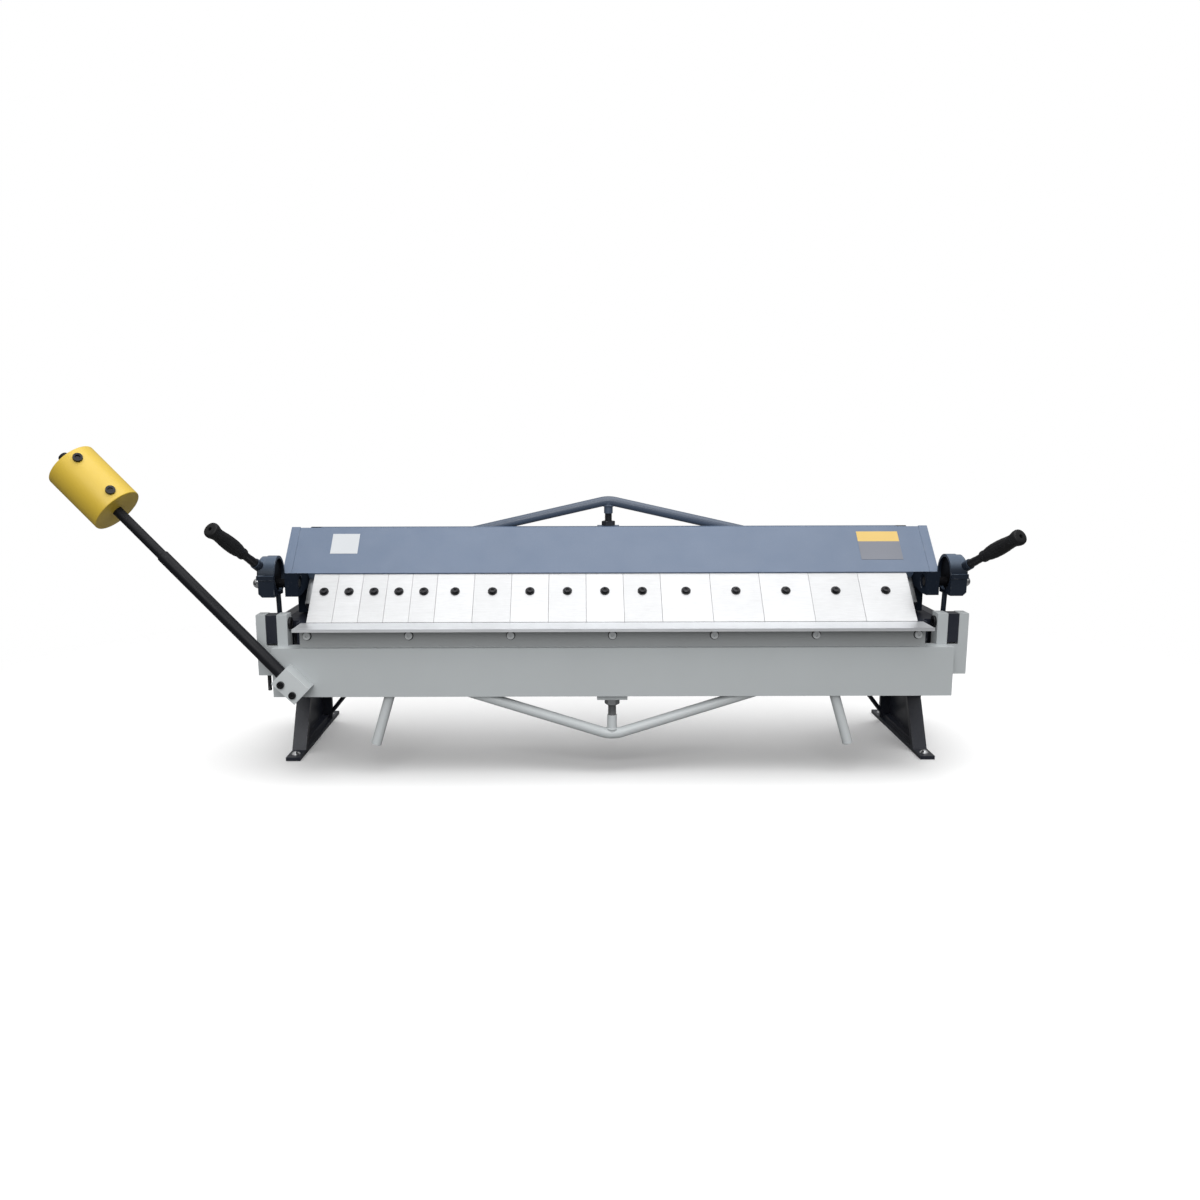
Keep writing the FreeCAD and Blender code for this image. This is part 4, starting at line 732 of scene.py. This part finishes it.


# Clamp shafts: turned steel shafts through the beam's ends, their bar coloured near black as painted shade
# between the cheek and the ring.
# Each is closed by a collar and a bright domed nut.
SHAFT_HIGH = 386 * MM
SHAFT_START = 626 * MM
SHAFT_RADIUS = 9 * MM
SHAFT_FACE = 693.4 * MM
SHAFT_NUT = 12.4 * MM
SHAFT_COLLAR = 4 * MM
NUT_FLATS = 12 * MM
DOME_RADIUS = 10.3 * MM
DOME_HIGH = 9.4 * MM
SHAFT_LONG = SHAFT_FACE - SHAFT_START
SHAFT_OUTLINE = ((0, 0), (8 * MM, 0), (SHAFT_RADIUS, 1 * MM), (SHAFT_RADIUS, SHAFT_LONG), (0, SHAFT_LONG))
DOME_TURNS = [math.pi / 2 * index / 10 for index in range(10)]
DOME_CAP = [(DOME_RADIUS * math.cos(turn), DOME_HIGH * math.sin(turn)) for turn in DOME_TURNS]
DOME_OUTLINE = [(0, -2 * MM), (DOME_RADIUS, -2 * MM), *DOME_CAP, (0, DOME_HIGH)]
COLLAR_OUTLINE = ((0, 0), (SHAFT_NUT - 0.5 * MM, 0), (SHAFT_NUT, 0.5 * MM),
                  (SHAFT_NUT, SHAFT_COLLAR - 0.6 * MM), (SHAFT_NUT - 0.6 * MM, SHAFT_COLLAR),
                  (0, SHAFT_COLLAR))
for name, side in SIDES:
    axis = Vector((side, 0, 0))
    start = Vector((side * SHAFT_START, RING_BACK, SHAFT_HIGH))
    face = Vector((side * SHAFT_FACE, RING_BACK, SHAFT_HIGH))
    collar = lathe(f"{name}_shaft_collar", COLLAR_OUTLINE, face, axis)
    nut = hex_nut(f"{name}_shaft_nut", face + axis * SHAFT_COLLAR, axis, SHAFT_NUT, NUT_FLATS, 5 * MM, 0.35)
    dome = lathe(f"{name}_shaft_dome", DOME_OUTLINE, face + axis * (SHAFT_COLLAR + NUT_FLATS), axis)
    piece = joined(f"{name}_shaft_nut_and_collar", [collar, nut, dome])
    fitted(piece, zinc_plate, f"{name}_clamp", "zinc_plate", f"{name}_clamp_shaft")
    # The bar takes the near-black painted shade.
    rod = turned(f"{name}_shaft_rod", SHAFT_OUTLINE, start, axis)
    fitted(rod, painted_shade_black, f"{name}_clamp", "dark_steel")


# Clamp handles: black round rods set into the hubs, leaning outwards so that hands clear the beam.
# Moulded rubber grips are pushed over them, fluted along the palm and open at the end.
HANDLE_SPLAY = math.radians(20.9)
HANDLE_RISES = (math.radians(37.8), math.radians(31.2))
HANDLE_ROOT = 30.6 * MM
HANDLE_BASE = 696.2 * MM
HANDLE_RADIUS = 8.5 * MM
HANDLE_LONG = 150.8 * MM
GRIP_START = 50.8 * MM
GRIP_STATIONS = (
    (0.0, 10.4), (0.015, 11.4), (0.05, 11.7), (0.085, 11.2), (0.10, 10.9), (0.13, 11.8), (0.20, 13.4),
    (0.32, 14.5), (0.46, 14.6), (0.58, 14.0), (0.68, 13.0), (0.76, 12.4), (0.82, 12.7), (0.87, 14.2),
    (0.91, 15.3), (0.95, 15.5), (0.98, 14.7), (0.995, 12.8), (1.0, 10.5))
SOFT_CORNER = 50
GRIP_FLUTES = 9
FLUTE_DEPTH = 0.75 * MM
GRIP_BORE = ((4.2 * MM, 0), (3.78 * MM, 1 * MM), (3.78 * MM, 7 * MM))
RUBBER_COLOUR = (0.007, 0.007, 0.008)
RUBBER_DUST = (0.030, 0.030, 0.032, 1)
RUBBER_GRAIN = 0.4 * MM
HANDLE_STEP = 8.1 * MM
ROD_END = HANDLE_LONG - 10 * MM
HANDLE_OUTLINE = ((0, 0), (HANDLE_RADIUS, 0), (HANDLE_RADIUS, 30 * MM), (HANDLE_STEP, 34 * MM),
                  (HANDLE_STEP, ROD_END), (0, ROD_END))


def smooth_step(share):
    """A share that starts and ends gently."""
    share = min(max(share, 0.0), 1.0)
    return share * share * (3 - 2 * share)


def grip_radius(share):
    """The grip's radius at a share of its length, eased between its measured stations."""
    for (low, first), (high, second) in zip(GRIP_STATIONS, GRIP_STATIONS[1:]):
        if share <= high:
            mix = smooth_step((share - low) / (high - low))
            return (first + (second - first) * mix) * MM
    return GRIP_STATIONS[-1][1] * MM


def flute(turn):
    """The flutes' depth at a turn round the grip."""
    return max(0.0, math.cos(GRIP_FLUTES * turn)) ** 6 * FLUTE_DEPTH


def grip_mesh(name, base, axis, long, sides=90, stations=110):
    """A moulded grip by its outline, with flutes along the palm and a blind hole in its end."""
    place = standing(base, axis)
    work = bmesh.new()
    rings = []
    for station in range(stations + 1):
        share = station / stations
        share = 1 - (1 - share) ** 1.25
        palm = smooth_step((share - 0.12) / 0.10) * smooth_step((0.72 - share) / 0.10)
        full = grip_radius(share)
        rings.append(ring_of(work, place, lambda turn: full - flute(turn) * palm, share * long, sides))
    rings += [ring_of(work, place, radius, long - deep, sides) for radius, deep in GRIP_BORE]
    for low, high in zip(rings, rings[1:]):
        for index in range(sides):
            after = (index + 1) % sides
            work.faces.new((low[index], low[after], high[after], high[index]))
    work.faces.new(rings[0])
    work.faces.new(rings[-1])
    bmesh.ops.recalc_face_normals(work, faces=work.faces)
    return worked(name, work)


def rubber(name, colour):
    """Matt moulded rubber with a fine grain and a dusty cast."""
    material, tree, shader = shader_of(name)
    place = own_place(tree)
    dust = noise(tree, place, 50.0, 6.0, 0.7)
    paler_share = ranged(tree, dust, 0.45, 0.75, 0.0, 0.22)
    fill(shader, {"Base Color": blend(tree, paler_share, (*colour, 1), RUBBER_DUST),
                  "Roughness": ranged(tree, dust, 0.0, 1.0, 0.42, 0.62),
                  "Normal": bumped(tree, 0.25, RUBBER_GRAIN, noise(tree, place, 900.0)),
                  "Specular IOR Level": 0.2})
    return material


grip_rubber = rubber("grip rubber", RUBBER_COLOUR)
for (name, side), rise in zip(SIDES, HANDLE_RISES):
    root = Vector((side * HANDLE_BASE, RING_BACK - HANDLE_ROOT * math.cos(rise),
                   RING_HIGH + HANDLE_ROOT * math.sin(rise)))
    along = Vector((side * math.sin(HANDLE_SPLAY), -math.cos(HANDLE_SPLAY) * math.cos(rise),
                    math.cos(HANDLE_SPLAY) * math.sin(rise)))
    rod = turned(f"{name}_handle_rod", HANDLE_OUTLINE, root, along)
    fitted(rod, black_oxide, f"{name}_clamp", "black_oxide", f"{name}_clamp_handle")
    grip = grip_mesh(f"{name}_grip_shape", root + along * GRIP_START, along, HANDLE_LONG - GRIP_START)
    eased(grip, SOFT_CORNER)
    fitted(plain_mesh(grip, f"{name}_moulded_grip"), grip_rubber, f"{name}_clamp", "grip_rubber",
           f"{name}_handle_grip")


# Apron: a welded steel leaf of front plate, top plate, edge plate and end gussets, sprayed light grey.
# It swings up on its two end brackets and carries the blade on its top edge.
LEAF_COLOUR = (0.45, 0.477, 0.487)
# Painted shadow: the blade's strip is the leaf's grey darkened, for the shadow under the lip.
SHADED_STRIP_COLOUR = (0.35, 0.365, 0.37)
leaf_enamel = enamel("leaf enamel", LEAF_COLOUR, worn=(0.24, 0.25, 0.26), gloss=0.40, wear=0.30)
finished("apron", 1.2 * MM, leaf_enamel, "bending_apron", "apron_paint")
for name, side in SIDES:
    finished(f"{name}_apron_bracket", 1.6 * MM, leaf_enamel, "bending_apron", "apron_paint", segments=3)


# Bending blade: a ground steel angle whose lip is left bright and whose leg is sprayed grey, darkened as
# painted shadow under the lip.
# It is screwed to the leaf's edge plate.
LIP_UNDER = 304.2 * MM
MASK_WANDER = 0.3 * MM
LIP_METAL = 0.75
LIP_COLOUR = (0.82, 0.84, 0.865)
MIXED = (("Colour", "Base Color", "RGBA", 6, 7, 2), ("Roughness", "Roughness", "FLOAT", 2, 3, 0),
         ("Normal", "Normal", "VECTOR", 4, 5, 1))


def blade_material(name, steel, paint, turn):
    """Ground steel above a height, enamel below it."""
    material, tree, shader = shader_of(name)
    wander = noise(tree, own_place(tree), 120.0, 3.0)
    line = ranged(tree, wander, 0.0, 1.0, turn - MASK_WANDER, turn + MASK_WANDER)
    bare = maths(tree, "GREATER_THAN", own_place(tree, "Z"), line)
    metal = put(tree, "ShaderNodeGroup", {"Colour": (*steel, 1), "Gloss": 0.36, "Stretch": (0.04, 1.0, 1.0)},
                node_tree=drawn_grain)
    skin = put(tree, "ShaderNodeGroup", {"Colour": (*paint, 1), "Wear": 0.3}, node_tree=sprayed_enamel)
    for socket, target, kind, low, high, out in MIXED:
        mixed = put(tree, "ShaderNodeMix", {0: bare, low: skin.outputs[socket], high: metal.outputs[socket]},
                    data_type=kind)
        fill(shader, {target: mixed.outputs[out]})
    fill(shader, {"Metallic": maths(tree, "MULTIPLY", bare, LIP_METAL)})
    return material


ground_blade = blade_material("ground blade", LIP_COLOUR, SHADED_STRIP_COLOUR, LIP_UNDER)
finished("bending_blade", 0.5 * MM, ground_blade, "bending_apron", "ground_steel")


# Blade bolts: round-headed socket screws along the strip, in the leaf's grey paint made lighter as painted
# light where they stand out of the lip's shadow, each ringed by a thin black ring of painted shadow.
BLADE_BOLT_FACE = -280 * MM
BLADE_BOLT_HIGH = 290 * MM
BLADE_BOLT_PITCH = 200 * MM
BLADE_BOLT = (7.4 * MM, 4.6 * MM, 7.5 * MM, 0.4 * MM, 3.2 * MM)
LIT_BOLT_COLOUR = (0.60, 0.62, 0.63)
BOLT_SHADOW_RING = ((7.4 * MM, 0), (9.0 * MM, 0), (9.0 * MM, 0.5 * MM), (7.4 * MM, 0.6 * MM), (7.4 * MM, 0))
places = [(BLADE_BOLT_PITCH * index, BLADE_BOLT_FACE, BLADE_BOLT_HIGH) for index in range(-3, 4)]
lit_bolt_enamel = enamel("bolt grey with painted light", LIT_BOLT_COLOUR, worn=(0.30, 0.31, 0.32), gloss=0.32, wear=0.6)
screws("blade_bolt_heads", places, [(0, -1, 0)] * len(places), BLADE_BOLT, lit_bolt_enamel, "bending_apron",
       "apron_paint", "blade_bolts", 0.8 * MM)
# Painted shadow: thin black rings round the heads.
rings = [lathe(f"blade_bolt_shadow_ring_{index}", BOLT_SHADOW_RING, place, (0, -1, 0))
         for index, place in enumerate(places)]
fitted(joined("blade_bolt_shadow_rings", rings), black_oxide, "bending_apron", "black_oxide")


# Hinge pins: blacked pins with socket heads, pressed into the brackets and turning in the frames.
finished("hinge_pins", 0.6 * MM, black_oxide, "bending_apron", "black_oxide")


# Bracket screws: plated screws from below, through each end of the leaf into its bracket.
finished("bracket_screws", 0.8 * MM, zinc_plate, "bending_apron", "zinc_plate")


# Bend stop rod: a blacked threaded rod in a lug on the left bracket, locked by a nut on each side.
# It stops the leaf at the angle that is set.
STOP_X = -694.15 * MM
STOP_Y = -228 * MM
STOP_FOOT = 167 * MM
STOP_LUG = (247 * MM, 267 * MM)
STOP_RADIUS = 4 * MM
STOP_LONG = 118 * MM
STOP_PITCH = 1.25 * MM
STOP_NUT = (7.2 * MM, 6.5 * MM, 3.6 * MM)
rod = threaded("stop_rod_thread", (STOP_X, STOP_Y, STOP_FOOT), (0, 0, 1), STOP_RADIUS, STOP_LONG, STOP_PITCH)
under = hex_nut("stop_nut_under", (STOP_X, STOP_Y, STOP_LUG[0] - STOP_NUT[1]), (0, 0, 1), *STOP_NUT, 0.3)
over = hex_nut("stop_nut_over", (STOP_X, STOP_Y, STOP_LUG[1]), (0, 0, 1), *STOP_NUT, 0.9)
piece = joined("stop_rod_with_nuts", [rod, under, over])
fitted(piece, black_oxide, "bending_apron", "black_oxide", "bend_stop_rod")


# Lower truss: the same bent tube under the leaf, with its post and jack screw, sprayed light grey and
# coloured lighter still as painted light.
LOWER_BACK = -272.5 * MM
LOWER_SEAT = 159.4 * MM
LOWER_POST_TOP = 127 * MM
LOWER_TUBE_OVER = 98.5 * MM
# Painted light: the lower truss, lift bars and arm block take the leaf's light grey made lighter, for the
# light they catch from below.
LIT_BAR_COLOUR = (0.55, 0.58, 0.59)
lit_bar_enamel = enamel("bar grey with painted light", LIT_BAR_COLOUR, worn=(0.24, 0.25, 0.26), gloss=0.40, wear=0.30)
finished("lower_truss", 0.8 * MM, lit_bar_enamel, "bending_apron", "apron_paint")
post_weld("lower_truss_welds", LOWER_BACK, LOWER_TUBE_OVER, (0, 0, -1), lit_bar_enamel, "bending_apron",
          "apron_paint")
jack_steel = enamel("jack steel", (0.19, 0.195, 0.20), worn=(0.35, 0.35, 0.36), gloss=0.36, wear=0.6,
                    metal=0.4)
lower_jack = jack_screw("lower", Vector((0, LOWER_BACK, LOWER_SEAT)), (0, 0, -1),
                        LOWER_SEAT - LOWER_POST_TOP, 0.1)
fitted(lower_jack, jack_steel, "bending_apron", "dark_steel", "lower_truss_jack_bolt")


# Lift bars: two round bars welded under the leaf, by which it is swung up.
# Their grey is the lighter copy of the leaf's grey: painted light.
for name, side in SIDES:
    finished(f"{name}_lift_bar", 1.2 * MM, lit_bar_enamel, "bending_apron", "apron_paint", segments=3)


# Arm block: a square steel socket welded to the leaf's left end, which holds the counterweight arm
# by two blacked screws.
ARM_MOUTH = Vector((-645.5 * MM, -310 * MM, 221.4 * MM))
ARM_RISE = math.radians(44.15)
ARM_LEAN = math.radians(8)
ARM_ALONG = Vector((-math.cos(ARM_RISE) * math.cos(ARM_LEAN), math.sin(ARM_LEAN),
                    math.sin(ARM_RISE) * math.cos(ARM_LEAN)))
BLOCK_FACE = -331 * MM
BLOCK_LONG = 60 * MM
BLOCK_SCREW_OFF = 9.46 * MM
BLOCK_RUNS = (-0.75, -0.25)
BLOCK_SCREW = (7 * MM, 5 * MM, 7.2 * MM, 0.5 * MM, 3.8 * MM)
# The block's grey is the same lighter copy: painted light.
finished("arm_block", 2.6 * MM, lit_bar_enamel, "bending_apron", "apron_paint", segments=3)
run_way = Vector((-math.cos(ARM_RISE), 0, math.sin(ARM_RISE)))
off_way = Vector((-math.sin(ARM_RISE), 0, -math.cos(ARM_RISE)))
spots = [ARM_MOUTH + run_way * BLOCK_LONG * run + off_way * BLOCK_SCREW_OFF for run in BLOCK_RUNS]
places = [(spot.x, BLOCK_FACE, spot.z) for spot in spots]
screws("arm_block_screw_heads", places, [(0, -1, 0)] * 2, BLOCK_SCREW, black_oxide, "bending_apron",
       "black_oxide", "arm_block_screws")


# Counterweight arm: a thick tube out of the block with a thinner rod set into it, sprayed black.
# The rod's end is rounded and stands a little out of the weight.
ARM_COLOUR = (0.008, 0.0085, 0.011)
SOCKET_DEEP = 45 * MM
TUBE_LONG = 329 * MM
TUBE_RADIUS = 12 * MM
ROD_START = 281 * MM
ROD_LONG = 608 * MM
ROD_RADIUS = 10 * MM
ROD_ROUND = 4 * MM


def arc(centre_radius, centre_height, radius, start, end, steps=6):
    """Steps of a rounded corner in a turned outline."""
    turns = [math.radians(start + (end - start) * index / steps) for index in range(steps + 1)]
    return [(centre_radius + radius * math.cos(turn), centre_height + radius * math.sin(turn))
            for turn in turns]


arm_enamel = enamel("arm enamel", ARM_COLOUR, worn=(0.16, 0.17, 0.18), gloss=0.42, wear=0.3, cloud=0.3,
                    gleam=0.15)
long = TUBE_LONG + SOCKET_DEEP
outline = [(0, 0), (TUBE_RADIUS, 0), (TUBE_RADIUS, long - 2 * MM), (ROD_RADIUS + 0.8 * MM, long), (0, long)]
tube = turned("arm_tube", outline, ARM_MOUTH - ARM_ALONG * SOCKET_DEEP, ARM_ALONG, 20)
fitted(tube, arm_enamel, "bending_apron", "arm_paint", "counterweight_tube")
long = ROD_LONG - ROD_START
outline = [(0, 0), (ROD_RADIUS, 0), (ROD_RADIUS, long - ROD_ROUND)]
outline += arc(ROD_RADIUS - ROD_ROUND, long - ROD_ROUND, ROD_ROUND, 0, 90) + [(0, long)]
rod = turned("arm_rod", outline, ARM_MOUTH + ARM_ALONG * ROD_START, ARM_ALONG, 30)
fitted(rod, arm_enamel, "bending_apron", "arm_paint", "counterweight_rod")


# Counterweight: a turned iron cylinder sprayed yellow, bored for the rod and held on it by two
# blacked set screws that stand out of its side.
WEIGHT_COLOUR = (0.66, 0.46, 0.050)
WEIGHT_START = 453 * MM
WEIGHT_LONG = 129 * MM
WEIGHT_RADIUS = 50.5 * MM
WEIGHT_BORE = 10.3 * MM
WEIGHT_ROLL = math.radians(41)
WEIGHT_INSET = 20 * MM
WEIGHT_EDGE = 1.8 * MM
WEIGHT_SCREW = (9 * MM, 5 * MM, 9.2 * MM, 0.6 * MM, 5.2 * MM)
weight_enamel = enamel("weight enamel", WEIGHT_COLOUR, worn=(0.40, 0.30, 0.10), gloss=0.40, wear=0.25,
                       peel=0.2)
flat = WEIGHT_RADIUS - WEIGHT_EDGE
outline = [(WEIGHT_BORE, 0), (WEIGHT_BORE + 1 * MM, 0), (flat, 0)]
outline += arc(flat, WEIGHT_EDGE, WEIGHT_EDGE, -90, 0)[1:]
outline += arc(flat, WEIGHT_LONG - WEIGHT_EDGE, WEIGHT_EDGE, 0, 90)
outline += [(WEIGHT_BORE, WEIGHT_LONG), (WEIGHT_BORE, 0)]
weight = turned("turned_weight", outline, ARM_MOUTH + ARM_ALONG * WEIGHT_START, ARM_ALONG, SOFT_CORNER, 120)
fitted(weight, weight_enamel, "sliding_weight", "weight_paint", "counterweight")
forward = Vector((0, -1, 0))
square_out = (forward - ARM_ALONG * forward.dot(ARM_ALONG)).normalized()
screw_out = Matrix.Rotation(WEIGHT_ROLL, 3, ARM_ALONG) @ square_out
places = [ARM_MOUTH + ARM_ALONG * run + screw_out * (WEIGHT_RADIUS - 0.6 * MM)
          for run in (WEIGHT_START + WEIGHT_INSET, WEIGHT_START + WEIGHT_LONG - WEIGHT_INSET)]
screws("weight_screw_heads", places, [screw_out] * 2, WEIGHT_SCREW, black_oxide, "sliding_weight",
       "black_oxide", "counterweight_screws")


# Studio: a pale matt floor that thins out into a white world, so that no horizon shows.
# One wide soft lamp hangs above and another stands well in front.
FLOOR_SEEN = 1.0
FLOOR_BOUNCE = 0.26
FLOOR_HALF = 5.0
FADE_FROM = 1.1
FADE_TO = 2.0


def floor_material():
    """Matt floor, pale to the camera, which throws little light back and is clear far from the machine."""
    material, tree, shader = shader_of("pale floor")
    rays = put(tree, "ShaderNodeLightPath")
    tone = ranged(tree, rays.outputs["Is Camera Ray"], 0.0, 1.0, FLOOR_BOUNCE, FLOOR_SEEN)
    fill(shader, {"Base Color": tone, "Roughness": 0.9, "Specular IOR Level": 0.0})
    away = put(tree, "ShaderNodeVectorMath", {0: own_place(tree)}, operation="LENGTH")
    thin = ranged(tree, away.outputs["Value"], FADE_FROM, FADE_TO, interpolation_type="SMOOTHSTEP")
    clear = put(tree, "ShaderNodeBsdfTransparent")
    mixed = put(tree, "ShaderNodeMixShader", {0: thin, 1: shader.outputs[0], 2: clear.outputs[0]})
    fill(tree.nodes["Material Output"], {"Surface": mixed.outputs[0]})
    return material


corners = [(x * FLOOR_HALF, y * FLOOR_HALF, 0) for x, y in ((-1, -1), (1, -1), (1, 1), (-1, 1))]
floor = drawn("floor", corners, [], [(0, 1, 2, 3)])
floor.data.materials.append(floor_material())

HORIZON_LEVEL = 0.10
ZENITH_LEVEL = 0.75
ZENITH_FROM = 0.8
world = bpy.data.worlds.new("studio")
bpy.context.scene.world = world
world.use_nodes = True
sky = world.node_tree
sky.nodes.clear()
rays = put(sky, "ShaderNodeLightPath")
way = put(sky, "ShaderNodeTexCoord").outputs["Generated"]
height = put(sky, "ShaderNodeSeparateXYZ", {0: way}).outputs["Z"]
level = ranged(sky, height, 0.0, ZENITH_FROM, HORIZON_LEVEL, ZENITH_LEVEL, interpolation_type="SMOOTHSTEP")
seen = put(sky, "ShaderNodeMix", {0: rays.outputs["Is Camera Ray"], 2: level, 3: 1.0}, data_type="FLOAT")
white = put(sky, "ShaderNodeBackground", {"Color": (1, 1, 1, 1), "Strength": seen.outputs[0]})
put(sky, "ShaderNodeOutputWorld", {"Surface": white.outputs[0]})

LAMPS_AIM = Vector((0, -0.2, 0.35))
LAMPS = (
    ("top lamp", (0.25, -0.7, 3.2), 3.2, 77),
    ("front lamp", (-0.45, -4.2, 2.2), 2.6, 91),
)
for name, spot, wide, power in LAMPS:
    lamp = bpy.data.lights.new(name, "AREA")
    lamp.shape = "SQUARE"
    lamp.size = wide
    lamp.energy = power
    holder = object_of(name, lamp)
    holder.location = spot
    holder.rotation_euler = (LAMPS_AIM - Vector(spot)).to_track_quat("-Z", "Y").to_euler()


# Camera: a little above the grips and left of the middle, looking slightly down, as the photograph
# was taken.
CAMERA_AT = (-72 * MM, -2224 * MM, 687 * MM)
CAMERA_PITCH = math.radians(90 - 9.80)
CAMERA_ROLL = math.radians(0.15)
CAMERA_LENS = 30.3
CAMERA_SHIFT = (0.02059, 0.00375)
camera = bpy.data.cameras.new("camera")
camera.sensor_width = 36
camera.lens = CAMERA_LENS
camera.shift_x, camera.shift_y = CAMERA_SHIFT
camera.clip_end = 50
viewer = object_of("camera", camera)
viewer.location = CAMERA_AT
viewer.rotation_euler = (CAMERA_PITCH, CAMERA_ROLL, 0)
bpy.context.scene.camera = viewer
bpy.context.scene.view_settings.view_transform = "Standard"
